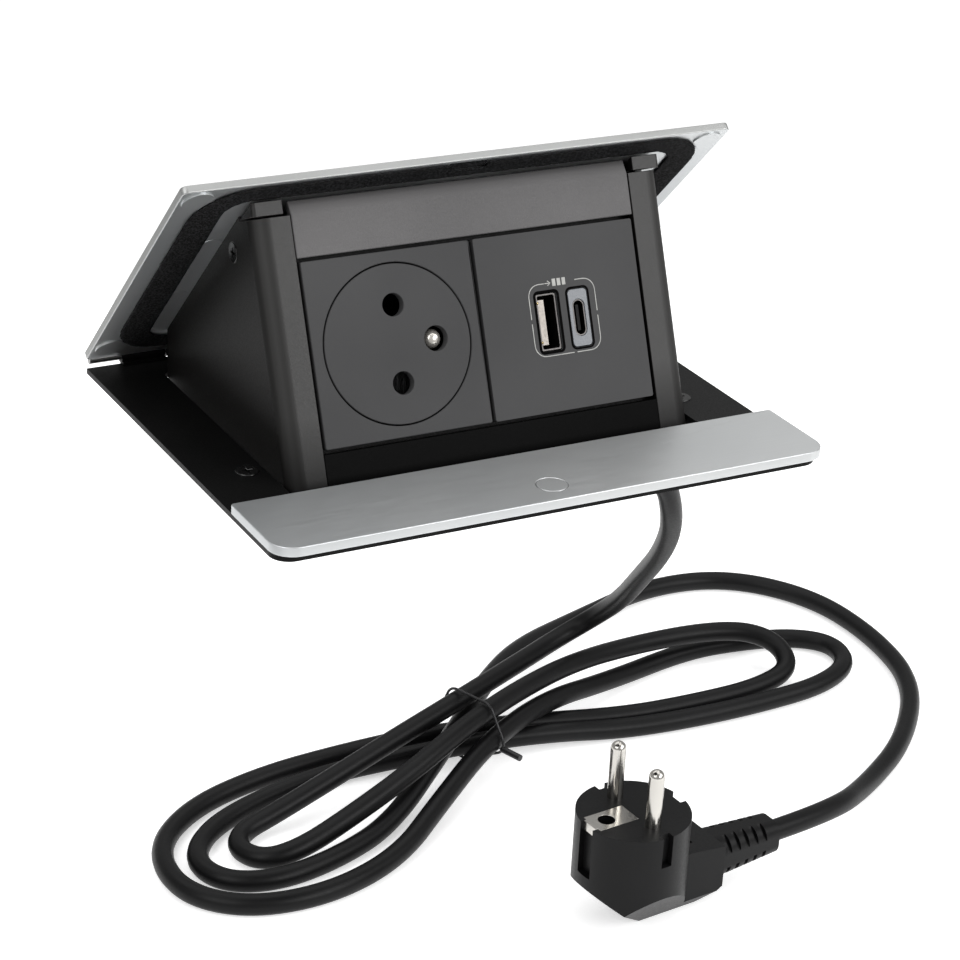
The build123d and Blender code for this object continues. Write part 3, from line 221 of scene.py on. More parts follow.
def shadeByFacing(tree, shader, where, look):
    # painted shade: faces whose normal lies close to the given axis get a darker colour and less specular,
    # and with footShade the piece also darkens towards its foot
    facing = tree.nodes.new("ShaderNodeNewGeometry")
    split = tree.nodes.new("ShaderNodeSeparateXYZ")
    tree.links.new(facing.outputs["Normal"], split.inputs["Vector"])
    size = tree.nodes.new("ShaderNodeMath")
    size.operation = "ABSOLUTE"
    tree.links.new(split.outputs[look["shadedAxis"]], size.inputs[0])
    low, high = look["shadedFrom"]
    dark = addRange(tree, size.outputs["Value"], 0, 1, low, high)
    if "footShade" in look:
        spot = tree.nodes.new("ShaderNodeSeparateXYZ")
        tree.links.new(where, spot.inputs["Vector"])
        foot = addRange(tree, spot.outputs["Z"], 1, 0, *look["footShade"])
        deepest = tree.nodes.new("ShaderNodeMath")
        deepest.operation = "MAXIMUM"
        tree.links.new(dark, deepest.inputs[0])
        tree.links.new(foot, deepest.inputs[1])
        dark = deepest.outputs["Value"]
    amount = addRange(tree, dark, look["specular"], look["shaded"], 0, 1)
    tree.links.new(amount, shader.inputs["Specular IOR Level"])
    blend = tree.nodes.new("ShaderNodeMix")
    blend.data_type = "RGBA"
    tree.links.new(dark, blend.inputs["Factor"])
    tree.links.new(shader.inputs["Base Color"].links[0].from_socket, blend.inputs["A"])
    blend.inputs["B"].default_value = (*look["shadedColour"], 1)
    tree.links.new(blend.outputs["Result"], shader.inputs["Base Color"])


def makeFinish(name, given):
    # broad colour drift, then a fine grain that drives roughness and bump
    look = {**plainLook, **given}
    material, tree, shader, where = startMaterial(name)
    drift = addNoise(tree, where, look["driftScale"], look["driftDetail"])
    colour = addRamp(tree, drift, list(zip(driftEnds, look["colours"])))
    tree.links.new(colour, shader.inputs["Base Color"])
    grain = addNoise(tree, where, look["grainScale"], look["grainDetail"], look["stretch"])
    tree.links.new(addRange(tree, grain, *look["roughness"]), shader.inputs["Roughness"])
    shader.inputs["Metallic"].default_value = look["metal"]
    shader.inputs["Specular IOR Level"].default_value = look["specular"]
    if "shaded" in look:
        shadeByFacing(tree, shader, where, look)
    addBump(tree, shader, grain, look["bump"], look["bumpDepth"])
    return material


def makeFoam(name, look):
    material, tree, shader, where = startMaterial(name)
    speck = tree.nodes.new("ShaderNodeTexVoronoi")
    speck.inputs["Scale"].default_value = look["speckScale"]
    tree.links.new(where, speck.inputs["Vector"])
    spots = addRamp(tree, speck.outputs["Distance"], look["stops"])
    tree.links.new(spots, shader.inputs["Base Color"])
    shader.inputs["Roughness"].default_value = look["roughness"]
    shader.inputs["Specular IOR Level"].default_value = look["specular"]
    skin = addNoise(tree, where, look["grainScale"], look["grainDetail"])
    addBump(tree, shader, skin, look["bump"], look["bumpDepth"])
    return material


finishes = {
    "black_sheet": {
        "colours": ((0.003, 0.003, 0.003), (0.005, 0.005, 0.005)), "roughness": (0.36, 0.5),
        "specular": 0.1, "grainScale": 2500, "bump": 0.12,
    },
    "satin_silver": {
        "colours": ((0.5, 0.52, 0.53), (0.6, 0.61, 0.61)), "metal": 0.86, "roughness": (0.34, 0.46),
        "driftScale": 9, "stretch": (0.12, 8, 8), "grainScale": 700, "bump": 0.05,
    },
    # painted shade: a darker copy of the satin silver, for the lid's edges
    "silver_painted_shade": {
        "colours": ((0.33, 0.335, 0.33), (0.38, 0.385, 0.38)), "metal": 0.86, "roughness": (0.4, 0.5),
        "grainScale": 1200, "bump": 0.04,
    },
    "black_bed": {
        "colours": ((0.003, 0.003, 0.003), (0.005, 0.005, 0.005)), "roughness": (0.6, 0.8),
        "specular": 0.1,
    },
    "bright_steel": {
        "colours": ((0.46, 0.44, 0.415), (0.56, 0.545, 0.51)), "metal": 1.0, "roughness": (0.14, 0.24),
        "grainScale": 1200, "bump": 0.03,
    },
    "dark_steel": {
        "colours": ((0.02, 0.02, 0.021), (0.035, 0.035, 0.036)), "metal": 0.6, "roughness": (0.22, 0.4),
        "specular": 0.4, "grainScale": 1600,
    },
    "gold_contact": {
        "colours": ((0.4, 0.3, 0.15), (0.5, 0.4, 0.22)), "metal": 1.0, "roughness": (0.2, 0.34),
        "grainScale": 1800, "bump": 0.04,
    },
    "wedge_black": {
        "colours": ((0.0045, 0.0043, 0.004), (0.0075, 0.007, 0.0066)), "roughness": (0.34, 0.46),
        "specular": 0.13, "grainScale": 3200, "bump": 0.1, "driftScale": 14,
    },
    # satin black side panels and corner caps, with painted light: a lighter colour on their front faces, and
    # painted shade on their sides and towards the foot
    "cheek_satin": {
        "colours": ((0.012, 0.0115, 0.011), (0.018, 0.0172, 0.0165)), "roughness": (0.4, 0.52),
        "specular": 0.38, "grainScale": 3200, "bump": 0.1, "driftScale": 14, "shaded": 0.1,
        "shadedAxis": "X", "shadedFrom": (0.82, 0.99), "shadedColour": (0.005, 0.0047, 0.0045),
        "footShade": (-0.001, 0.017),
    },
    # partly painted shade: the front rail is black, and is darker and far less reflective than the other
    # blacks to stand in for the shade under the modules
    "rail_black": {
        "colours": ((0.001, 0.001, 0.001), (0.0015, 0.0015, 0.0015)), "roughness": (0.3, 0.4),
        "specular": 0.02, "grainScale": 3200, "bump": 0.08,
    },
    "port_nickel": {
        "colours": ((0.13, 0.12, 0.11), (0.19, 0.175, 0.16)), "metal": 1.0, "roughness": (0.3, 0.42),
        "grainScale": 1800, "bump": 0.02,
    },
    "port_shell": {
        "colours": ((0.055, 0.053, 0.052), (0.085, 0.08, 0.078)), "metal": 1.0, "roughness": (0.3, 0.4),
        "grainScale": 1800, "bump": 0.02,
    },
    "pin_dull": {
        "colours": ((0.32, 0.32, 0.315), (0.38, 0.375, 0.37)), "metal": 1.0, "roughness": (0.3, 0.42),
        "grainScale": 1200, "bump": 0.03,
    },
    "pin_cream": {
        "colours": ((0.7, 0.67, 0.62), (0.8, 0.77, 0.72)), "metal": 0.8, "roughness": (0.2, 0.3),
        "grainScale": 1500, "bump": 0.02,
    },
    "screw_black": {
        "colours": ((0.006, 0.006, 0.006), (0.012, 0.012, 0.012)), "metal": 0.3,
        "roughness": (0.14, 0.24), "specular": 0.6, "grainScale": 1600, "bump": 0.05,
    },
    "print_grey": {
        "colours": ((0.3, 0.3, 0.29), (0.42, 0.42, 0.4)), "roughness": (0.5, 0.7), "grainScale": 2400,
        "driftScale": 600,
    },
    # painted shade: a near-black with almost no reflection, for gaps
    "gap_painted_shade": {
        "colours": ((0.0012, 0.0012, 0.0012), (0.002, 0.002, 0.002)), "roughness": (0.6, 0.8),
        "specular": 0.02,
    },
    # painted shade: the top trim's grey turns darker on facets that face up or down
    "trim_grey": {
        "colours": ((0.075, 0.073, 0.074), (0.095, 0.092, 0.093)), "metal": 0.25,
        "roughness": (0.42, 0.62), "specular": 0.3, "grainScale": 3600, "bump": 0.35, "shaded": 0.1,
        "shadedAxis": "Z", "shadedFrom": (0.6, 0.8), "shadedColour": (0.03, 0.03, 0.03),
    },
    "face_grey": {
        "colours": ((0.042, 0.042, 0.043), (0.052, 0.052, 0.053)), "roughness": (0.5, 0.66),
        "specular": 0.18, "grainScale": 4200, "bump": 0.12,
    },
    "black_plastic": {
        "colours": ((0.004, 0.004, 0.004), (0.007, 0.007, 0.007)), "roughness": (0.4, 0.6),
        "specular": 0.12, "grainScale": 2600,
    },
    "light_surround": {
        "colours": ((0.085, 0.092, 0.105), (0.11, 0.12, 0.135)), "roughness": (0.25, 0.35),
        "grainScale": 2600, "bump": 0.03,
    },
    "board_green": {
        "colours": ((0.01, 0.09, 0.03), (0.02, 0.14, 0.05)), "roughness": (0.3, 0.5),
    },
    "cord_black": {
        "colours": ((0.0035, 0.0035, 0.0037), (0.006, 0.006, 0.0063)), "roughness": (0.34, 0.46),
        "specular": 0.14, "grainScale": 1500, "bump": 0.06,
    },
}
foamLook = {
    "stops": [(0.0, (0.002, 0.002, 0.002)), (0.35, (0.004, 0.004, 0.004)), (0.75, (0.02, 0.02, 0.021))],
    "speckScale": 1900, "grainScale": 3200, "grainDetail": 5,
    "roughness": 0.9, "specular": 0.06, "bump": 0.5, "bumpDepth": 0.0003,
}
materials = {name: makeFinish(name, look) for name, look in finishes.items()}
materials["foam"] = makeFoam("foam", foamLook)

# Nodes that look different from the slot they are in
otherFinishes = {
    "side_panel_left": "cheek_satin", "side_panel_right": "cheek_satin",
    "corner_cap_left": "cheek_satin", "corner_cap_right": "cheek_satin",
    "front_rail": "rail_black", "lid_buffers": "satin_silver", "push_button": "satin_silver",
    "usb_a_shell": "port_shell", "usb_c_shell": "port_shell", "usb_a_tongue": "port_nickel",
    "usb_c_tongue": "black_plastic", "earth_pin": "pin_cream", "hinge_pin": "pin_dull",
    "flange_screws": "screw_black", "body_screws": "screw_black",
}
slotOf = {part["node"]: part["material_slot"] for part in frame["record"]["subparts"]}
finishOf = {**slotOf, **otherFinishes}
for name, thing in cadNodes.items():
    thing.data.materials.clear()
    thing.data.materials.append(materials[finishOf[name]])
cord.data.materials.append(materials["cord_black"])
print("materials made,", len(materials))


def pieceFrom(shape, name):
    mesh = bpy.data.meshes.new(name)
    shape.to_mesh(mesh)
    shape.free()
    piece = bpy.data.objects.new(name, mesh)
    bpy.context.scene.collection.objects.link(piece)
    return piece


def settle(piece):
    # what the modifiers make of a piece becomes its own mesh
    made = bpy.data.meshes.new_from_object(piece.evaluated_get(bpy.context.evaluated_depsgraph_get()))
    piece.modifiers.clear()
    piece.data = made
    return made


# CAD pieces with their edges eased, so that they catch the light as moulded and pressed parts do
easedEdges = {
    "front_strip": 0.35, "lid_panel": 0.3, "push_button": 0.12, "base_flange": 0.2, "frame_collar": 0.25,
    "side_panel_left": 0.35, "side_panel_right": 0.35, "corner_cap_left": 0.35, "corner_cap_right": 0.35,
    "front_rail": 0.25, "top_trim": 0.3, "outlet_cover": 0.3, "outlet_disc": 0.2, "charger_cover": 0.25,
    "usb_c_surround": 0.12, "usb_c_shell": 0.06, "usb_a_shell": 0.08,
    "rear_bracket": 0.3, "rear_wall": 0.25, "body_floor": 0.3,
    "gland_body": 0.3, "gland_dome": 0.3, "gland_locknut": 0.3, "terminal_box": 0.5,
    "plug_body": 1.2, "strain_relief": 0.4, "plug_earth_plate": 0.15, "plug_side_clip": 0.15,
}
easeLook = {"flatWithin": 0.5, "sharpFrom": 32, "segments": 3, "faceWeight": 100}
mergeWithin = 2e-6
lidEdge = {
    "node": "lid_panel", "finish": "silver_painted_shade", "facing": 0.5,
    "forward": Vector((0, -1, 1)).normalized(),
}


def easedCopy(name, wide, look):
    shape = bmesh.new()
    shape.from_mesh(cadNodes[name].data)
    bmesh.ops.remove_doubles(shape, verts=shape.verts, dist=mergeWithin)
    flat = math.radians(look["flatWithin"])
    bmesh.ops.dissolve_limit(shape, angle_limit=flat, verts=shape.verts, edges=shape.edges)
    piece = pieceFrom(shape, name + "Eased")
    for face in piece.data.polygons:
        face.use_smooth = True
    ease = piece.modifiers.new("ease", "BEVEL")
    ease.width = wide * mm
    ease.segments = look["segments"]
    ease.limit_method = "ANGLE"
    ease.angle_limit = math.radians(look["sharpFrom"])
    # the largest face at each corner sets the shading, so that flat faces stay flat
    level = piece.modifiers.new("level", "WEIGHTED_NORMAL")
    level.mode = "FACE_AREA"
    level.weight = look["faceWeight"]
    finished = settle(piece)
    finished.materials.clear()
    finished.materials.append(materials[finishOf[name]])
    if name == lidEdge["node"]:
        # painted shade: faces on the lid's front and side edges get a darker copy of its silver
        finished.materials.append(materials[lidEdge["finish"]])
        for face in finished.polygons:
            facing = max(abs(face.normal.x), face.normal.dot(lidEdge["forward"]))
            face.material_index = int(facing > lidEdge["facing"])
    return piece


bodyOf = {name: thing["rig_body"] for name, thing in cadNodes.items()}
for name, wide in easedEdges.items():
    piece = easedCopy(name, wide, easeLook)
    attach(piece, bodyOf[name])
    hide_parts(name)
print("edges eased on", len(easedEdges), "pieces")

# What repeats is grown with Geometry Nodes, then kept as a plain mesh
wireSides = 10
coilSteps = 28
headSides = 48


def startTree(name, inputs):
    tree = bpy.data.node_groups.new(name, "GeometryNodeTree")
    for label, kind in [("Geometry", "Geometry")] + inputs:
        tree.interface.new_socket(label, in_out="INPUT", socket_type="NodeSocket" + kind)
    tree.interface.new_socket("Geometry", in_out="OUTPUT", socket_type="NodeSocketGeometry")
    given = tree.nodes.new("NodeGroupInput")
    return tree, given.outputs


def endTree(tree, shape, given):
    realize = tree.nodes.new("GeometryNodeRealizeInstances")
    paint = tree.nodes.new("GeometryNodeSetMaterial")
    result = tree.nodes.new("NodeGroupOutput")
    tree.links.new(shape, realize.inputs["Geometry"])
    tree.links.new(realize.outputs["Geometry"], paint.inputs["Geometry"])
    tree.links.new(given["Finish"], paint.inputs["Material"])
    tree.links.new(paint.outputs["Geometry"], result.inputs["Geometry"])
    return tree


def roundWire(tree, line, radius):
    profile = tree.nodes.new("GeometryNodeCurvePrimitiveCircle")
    profile.inputs["Resolution"].default_value = wireSides
    tree.links.new(radius, profile.inputs["Radius"])
    sweep = tree.nodes.new("GeometryNodeCurveToMesh")
    sweep.inputs["Fill Caps"].default_value = True
    tree.links.new(line, sweep.inputs["Curve"])
    tree.links.new(profile.outputs["Curve"], sweep.inputs["Profile Curve"])
    return sweep.outputs["Mesh"]


def buildCoilTree():
    inputs = [(label, "Float") for label in ("Turns", "Radius", "Length", "Wire")]
    tree, given = startTree("coil", inputs + [("Finish", "Material")])
    spiral = tree.nodes.new("GeometryNodeCurveSpiral")
    spiral.inputs["Resolution"].default_value = coilSteps
    fits = {"Rotations": "Turns", "Start Radius": "Radius", "End Radius": "Radius", "Height": "Length"}
    for end, label in fits.items():
        tree.links.new(given[label], spiral.inputs[end])
    return endTree(tree, roundWire(tree, spiral.outputs["Curve"], given["Wire"]), given)


def buildHeadTree():
    # a round head with a rim, and a cross cut into it, on every vertex of the mesh it is given
    inputs = [(label, "Float") for label in ("Radius", "Height", "Rim")]
    inputs += [("Cross", "Vector"), ("Cross back", "Vector"), ("Finish", "Material")]
    tree, given = startTree("screwHeads", inputs)
    head = tree.nodes.new("GeometryNodeMeshCylinder")
    head.inputs["Vertices"].default_value = headSides
    tree.links.new(given["Radius"], head.inputs["Radius"])
    tree.links.new(given["Height"], head.inputs["Depth"])
    cut = tree.nodes.new("GeometryNodeMeshBoolean")
    cut.operation = "DIFFERENCE"
    tree.links.new(head.outputs["Mesh"], cut.inputs["Mesh 1"])
    for label in ("Cross", "Cross back"):
        arm = tree.nodes.new("GeometryNodeMeshCube")
        tree.links.new(given[label], arm.inputs["Size"])
        tree.links.new(arm.outputs["Mesh"], cut.inputs["Mesh 2"])
    ring = tree.nodes.new("GeometryNodeCurvePrimitiveCircle")
    ring.inputs["Resolution"].default_value = headSides
    tree.links.new(given["Radius"], ring.inputs["Radius"])
    both = tree.nodes.new("GeometryNodeJoinGeometry")
    tree.links.new(cut.outputs["Mesh"], both.inputs["Geometry"])
    tree.links.new(roundWire(tree, ring.outputs["Curve"], given["Rim"]), both.inputs["Geometry"])
    spread = tree.nodes.new("GeometryNodeInstanceOnPoints")
    tree.links.new(given["Geometry"], spread.inputs["Points"])
    tree.links.new(both.outputs["Geometry"], spread.inputs["Instance"])
    return endTree(tree, spread.outputs["Instances"], given)


def grow(name, tree, values, spots, place):
    mesh = bpy.data.meshes.new(name)
    mesh.from_pydata(spots, [], [])
    piece = bpy.data.objects.new(name, mesh)
    bpy.context.scene.collection.objects.link(piece)
    growth = piece.modifiers.new("growth", "NODES")
    growth.node_group = tree
    for socket in tree.interface.items_tree:
        if socket.in_out == "INPUT" and socket.name in values:
            growth[socket.identifier] = values[socket.name]
    finished = settle(piece)
    finished.transform(place)
    for face in finished.polygons:
        face.use_smooth = len(face.vertices) == 4
    return piece


def placeAt(spot, axis, turn):
    return Matrix.Translation([v * mm for v in spot]) @ Matrix.Rotation(math.radians(turn), 4, axis)


hingeLine = {"y": 61.2, "z": 3.2, "slope": 45}
coils = {
    "hinge_springs": [
        {
            "at": (x, hingeLine["y"], hingeLine["z"]), "turn": ("Y", 90),
            "turns": 32.0, "radius": 1.12, "length": 24.4, "wire": 0.3,
        }
        for x in (-39.1, 14.7)
    ],
    "disc_spring": [
        {
            "at": (-23.0, -14.25, 28.62), "turn": ("X", -112),
            "turns": 7.5, "radius": 3.2, "length": 14.0, "wire": 0.38,
            "squash": {"joint": "disc_press", "axis": (0, 0.92718, -0.37461), "keep": 0.27},
        },
    ],
}
coilTree = buildCoilTree()
for name, rows in coils.items():
    for number, row in enumerate(rows):
        values = {"Turns": row["turns"], "Finish": materials["dark_steel"]}
        values.update({label: row[label.lower()] * mm for label in ("Radius", "Length", "Wire")})
        piece = grow(f"{name}Coil{number}", coilTree, values, [(0, 0, 0)], placeAt(row["at"], *row["turn"]))
        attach(piece, bodyOf[name])
        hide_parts(name)
        if "squash" in row:
            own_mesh(piece)

sideHead = {"node": "body_screws", "spots": [(0, 0, 0)], "radius": 2.35, "height": 0.36, "cross": 2.5}
heads = [
    {
        "name": "flangeScrewHeads", "node": "flange_screws", "at": (0, 0, 1.5), "turn": 0,
        "spots": [(-61, -14.2, 0), (61, -14.2, 0)], "radius": 2.75, "height": 0.5, "cross": 2.9,
    },
    {"name": "leftScrewHead", "at": (-55.8, 7.3, 49.03), "turn": -90, **sideHead},
    {"name": "rightScrewHead", "at": (55.8, 7.3, 49.03), "turn": 90, **sideHead},
]
slotWide = 0.62
rimRadius = 0.2
headTree = buildHeadTree()
for row in heads:
    long, slim, tall = row["cross"] * mm, slotWide * mm, 2 * row["height"] * mm
    values = {
        "Radius": row["radius"] * mm, "Height": row["height"] * mm, "Rim": rimRadius * mm,
        "Cross": (long, slim, tall), "Cross back": (slim, long, tall), "Finish": materials["screw_black"],
    }
    spots = [tuple(v * mm for v in spot) for spot in row["spots"]]
    piece = grow(row["name"], headTree, values, spots, placeAt(row["at"], "Y", row["turn"]))
    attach(piece, bodyOf[row["node"]])
print("springs and screw heads grown")

# Flat marks on the charger's face, in the face's own width and height, and on the lid's underside
faceFoot = {"y": -25.5, "z": 8.9, "lean": 22}
ribbonThick = 0.04


def facePoint(x, up, out):
    lean = math.radians(faceFoot["lean"])
    y = faceFoot["y"] + up * math.sin(lean) - out * math.cos(lean)
    z = faceFoot["z"] + up * math.cos(lean) + out * math.sin(lean)
    return Vector((x, y, z)) * mm


def roundedLoop(centre, half, radius, steps=6):
    points = []
    for number, (sx, sy) in enumerate(((1, 1), (-1, 1), (-1, -1), (1, -1))):
        cx, cy = centre[0] + sx * (half[0] - radius), centre[1] + sy * (half[1] - radius)
        for step in range(steps + 1):
            turn = math.radians(90 * (number + step / steps))
            points.append((cx + radius * math.cos(turn), cy + radius * math.sin(turn)))
    return points


def addRibbon(shape, points, wide, closed):
    rows = []
    count = len(points)
    for number, (x, y) in enumerate(points):
        last = points[number - 1] if closed or number else points[0]
        after = points[(number + 1) % count] if closed or number < count - 1 else points[-1]
        along = Vector((after[0] - last[0], after[1] - last[1])).normalized()
        side = Vector((-along.y, along.x)) * wide / 2
        ends = ((x + side.x, y + side.y), (x - side.x, y - side.y))
        rims = ((0, 0.0), (0, ribbonThick), (1, ribbonThick), (1, 0.0))
        rows.append([shape.verts.new(facePoint(*ends[i], lift)) for i, lift in rims])
    steps = count if closed else count - 1
    for number in range(steps):
        first, second = rows[number], rows[(number + 1) % count]
        for side in range(4):
            shape.faces.new([first[side], first[side - 1], second[side - 1], second[side]])
    if not closed:
        shape.faces.new(rows[0])
        shape.faces.new(list(reversed(rows[-1])))


def flatMarks(name, ribbons, finish, node):
    shape = bmesh.new()
    for points, wide, closed in ribbons:
        addRibbon(shape, points, wide, closed)
    bmesh.ops.recalc_face_normals(shape, faces=shape.faces)
    piece = pieceFrom(shape, name)
    piece.data.materials.append(materials[finish])
    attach(piece, bodyOf[node])


portFrame = {
    "left": 13.85, "right": 32.55, "low": 13.9, "high": 31.8, "radius": 3.0, "line": 0.22, "sideGap": 0.55,
    "topGap": (18.5, 27.2), "lowGap": (24.6, 25.5),
    "arrow": {"from": 18.7, "to": 20.3, "barbs": 19.5, "half": 0.6},
    "bars": {"at": (21.3, 22.7, 24.1), "below": 0.85, "above": 0.95, "wide": 0.95},
}


def frameLines(look):
    right, left, low, high = look["right"], look["left"], look["low"], look["high"]
    centre = ((left + right) / 2, (low + high) / 2)
    half = ((right - left) / 2, (high - low) / 2)
    loop = roundedLoop(centre, half, look["radius"])
    quarter = len(loop) // 4
    topRight, topLeft, lowLeft, lowRight = (loop[i * quarter:(i + 1) * quarter] for i in range(4))
    over, under = centre[1] + look["sideGap"], centre[1] - look["sideGap"]
    arrow = look["arrow"]
    return [
        [(right, over)] + topRight + [(look["topGap"][1], high)],
        [(look["topGap"][0], high)] + topLeft + [(left, over)],
        [(left, under)] + lowLeft + [(look["lowGap"][0], low)],
        [(look["lowGap"][1], low)] + lowRight + [(right, under)],
        [(arrow["from"], high), (arrow["to"], high)],
        [(arrow["barbs"], high + arrow["half"]), (arrow["to"], high), (arrow["barbs"], high - arrow["half"])],
    ]


printLines = [(points, portFrame["line"], False) for points in frameLines(portFrame)]
bars = portFrame["bars"]
for x in bars["at"]:
    ends = [(x, portFrame["high"] - bars["below"]), (x, portFrame["high"] + bars["above"])]
    printLines.append((ends, bars["wide"], False))
flatMarks("portPrint", printLines, "print_grey", "charger_cover")

# painted shade: flat black loops on the charger's face where the gaps round the two ports lie in shade
portGapShades = [
    {"centre": (18.7, 22.3), "half": (3.3, 7.55), "radius": 1.0, "wide": 0.7},
    {"centre": (27.45, 22.3), "half": (3.1, 7.6), "radius": 1.3, "wide": 0.5},
]
gapShadeLoops = [(roundedLoop(row["centre"], row["half"], row["radius"]), row["wide"], True) for row in portGapShades]
flatMarks("portGapShades", gapShadeLoops, "gap_painted_shade", "charger_cover")

# Two contacts that show inside the wider port
portContacts = {"x": 16.3, "rows": (17.4, 27.2), "radius": 0.42, "depth": -0.75, "segments": (16, 10)}


def buildContacts(look):
    shape = bmesh.new()
    around, high = look["segments"]
    radius = look["radius"] * mm
    for up in look["rows"]:
        place = Matrix.Translation(facePoint(look["x"], up, look["depth"]))
        bmesh.ops.create_uvsphere(shape, u_segments=around, v_segments=high, radius=radius, matrix=place)
    for face in shape.faces:
        face.smooth = True
    piece = pieceFrom(shape, "portContacts")
    piece.data.materials.append(materials["gold_contact"])
    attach(piece, bodyOf["usb_a_shell"])


buildContacts(portContacts)


def lidPoint(x, along, out):
    slope = math.radians(hingeLine["slope"])
    y = hingeLine["y"] - along * math.cos(slope) + out * math.sin(slope)
    z = hingeLine["z"] + along * math.sin(slope) + out * math.cos(slope)
    return Vector((x, y, z)) * mm


# How far the lid's underside is from the hinge line, and how far a mark is sunk in it
lidUnder = {"face": -0.7, "sunk": 0.02}
lidMarks = {
    "spots": [(-58.7, 65.3), (-59.6, 36.8), (58.7, 65.3), (59.6, 36.8)],
    "radius": 3.1, "taper": 0.94, "drop": 0.12, "steps": 36,
}


def buildLidMarks(look):
    shape = bmesh.new()
    turns = [math.tau * step / look["steps"] for step in range(look["steps"])]
    levels = (
        (look["radius"], lidUnder["face"] + lidUnder["sunk"]),
        (look["radius"] * look["taper"], lidUnder["face"] - look["drop"]),
    )
    for x, along in look["spots"]:
        rings = []
        for radius, out in levels:
            points = [(x + radius * math.cos(turn), along + radius * math.sin(turn)) for turn in turns]
            rings.append([shape.verts.new(lidPoint(*point, out)) for point in points])
        inner, outer = rings
        for step in range(look["steps"]):
            shape.faces.new([inner[step], inner[step - 1], outer[step - 1], outer[step]])
        shape.faces.new(outer)
        shape.faces.new(list(reversed(inner)))
    bmesh.ops.recalc_face_normals(shape, faces=shape.faces)
    piece = pieceFrom(shape, "lidMarks")
    piece.data.materials.append(materials["satin_silver"])
    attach(piece, bodyOf["lid_panel"])


buildLidMarks(lidMarks)

# Thin black film on the lid where the gasket is notched for the lifter's tip
notchFilm = {"half": 5.2, "low": 91.7, "high": 94.85, "thick": 0.06}


def buildNotchFilm(look):
    shape = bmesh.new()
    corners = []
    for out in (lidUnder["face"] + lidUnder["sunk"], lidUnder["face"] - look["thick"]):
        for x, along in ((-1, "low"), (1, "low"), (1, "high"), (-1, "high")):
            corners.append(shape.verts.new(lidPoint(x * look["half"], look[along], out)))
    for ring in ((0, 1, 2, 3), (4, 5, 6, 7), (0, 1, 5, 4), (1, 2, 6, 5), (2, 3, 7, 6), (3, 0, 4, 7)):
        shape.faces.new([corners[i] for i in ring])
    bmesh.ops.recalc_face_normals(shape, faces=shape.faces)
    piece = pieceFrom(shape, "notchFilm")
    piece.data.materials.append(materials["foam"])
    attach(piece, bodyOf["lid_panel"])


buildNotchFilm(notchFilm)

# Foam gasket: remeshed in the lid's own plane, its edges rounded and its skin slightly uneven
gasketLook = {"node": "lid_gasket", "voxel": 0.6, "uneven": 0.05, "grain": 2.2}


def buildGasket(look):
    name = look["node"]
    shape = bmesh.new()
    shape.from_mesh(cadNodes[name].data)
    bmesh.ops.remove_doubles(shape, verts=shape.verts, dist=mergeWithin)
    piece = pieceFrom(shape, "foamGasket")
    toHinge = Matrix.Translation((0, -hingeLine["y"] * mm, -hingeLine["z"] * mm))
    flat = Matrix.Rotation(math.radians(hingeLine["slope"]), 4, "X") @ toHinge
    piece.data.transform(flat)
    remesh = piece.modifiers.new("remesh", "REMESH")
    remesh.mode = "VOXEL"
    remesh.voxel_size = look["voxel"] * mm
    finished = settle(piece)
    for vertex in finished.vertices:
        push = noise.noise(vertex.co / (look["grain"] * mm)) - 0.5
        vertex.co += vertex.normal * push * look["uneven"] * mm
    finished.transform(flat.inverted())
    for face in finished.polygons:
        face.use_smooth = True
    finished.materials.clear()
    finished.materials.append(materials["foam"])
    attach(piece, bodyOf[name])
    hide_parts(name)
    print("gasket faces", len(finished.polygons))


buildGasket(gasketLook)
print("marks and gasket made")

# Floor and light
floorLook = {
    "height": -0.1851, "centre": (0.1, 0.06), "half": 0.5, "roughness": 0.9, "glow": 0.5,
    "colour": (0.88, 0.88, 0.88), "lighter": 1.02, "driftScale": 3, "driftDetail": 2,
}


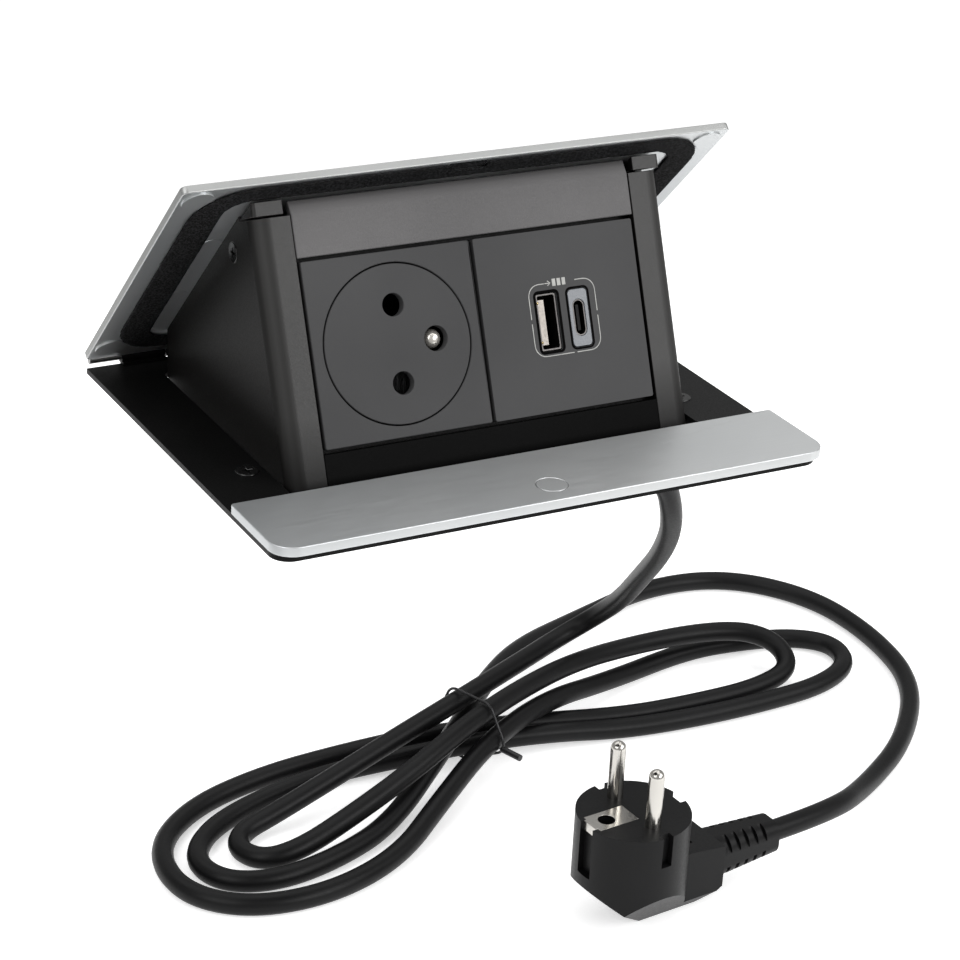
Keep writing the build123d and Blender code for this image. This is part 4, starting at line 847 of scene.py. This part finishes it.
def buildFloor(look):
    shape = bmesh.new()
    middleX, middleY = look["centre"]
    half = look["half"]
    corners = [
        shape.verts.new((middleX + x * half, middleY + y * half, look["height"]))
        for x, y in ((-1, -1), (1, -1), (1, 1), (-1, 1))
    ]
    shape.faces.new(corners)
    floor = pieceFrom(shape, "floor")
    material, tree, shader, where = startMaterial("paleFloor")
    drift = addNoise(tree, where, look["driftScale"], look["driftDetail"])
    pale = look["colour"]
    colours = (pale, tuple(c * look["lighter"] for c in pale))
    colour = addRamp(tree, drift, list(zip(driftEnds, colours)))
    tree.links.new(colour, shader.inputs["Base Color"])
    shader.inputs["Roughness"].default_value = look["roughness"]
    shader.inputs["Emission Color"].default_value = (1, 1, 1, 1)
    shader.inputs["Emission Strength"].default_value = look["glow"]
    floor.data.materials.append(material)


buildFloor(floorLook)

lamps = [
    {"name": "keyLeft", "at": (-1.1, -0.5, 0.9), "size": 1.0, "power": 10},
    {"name": "fillRight", "at": (1.2, -0.9, 0.9), "size": 1.0, "power": 10},
    {"name": "topSoft", "at": (0.1, 0.4, 1.5), "size": 2.2, "power": 19},
    {"name": "faceCatch", "at": (0.52, -1.15, 0.5), "size": 0.55, "power": 7},
]
lampAim = Vector((0.05, 0.03, -0.03))
for lamp in lamps:
    light = bpy.data.lights.new(lamp["name"], "AREA")
    light.size = lamp["size"]
    light.energy = lamp["power"]
    thing = bpy.data.objects.new(lamp["name"], light)
    thing.location = lamp["at"]
    aim = lampAim - Vector(lamp["at"])
    thing.rotation_euler = aim.to_track_quat("-Z", "Y").to_euler()
    bpy.context.scene.collection.objects.link(thing)

# The room looks white, and lights the object more softly than that
roomLook = {"asLight": 0.45, "asSeen": 1.1}
world = bpy.data.worlds.new("softRoom")
world.use_nodes = True
roomTree = world.node_tree
room = roomTree.nodes["Background"]
room.inputs["Color"].default_value = (1, 1, 1, 1)
seen = roomTree.nodes.new("ShaderNodeLightPath")
strength = addRange(roomTree, seen.outputs["Is Camera Ray"], roomLook["asLight"], roomLook["asSeen"], 0, 1)
roomTree.links.new(strength, room.inputs["Strength"])
bpy.context.scene.world = world
bpy.context.scene.view_settings.view_transform = "Standard"
print("floor and light made")
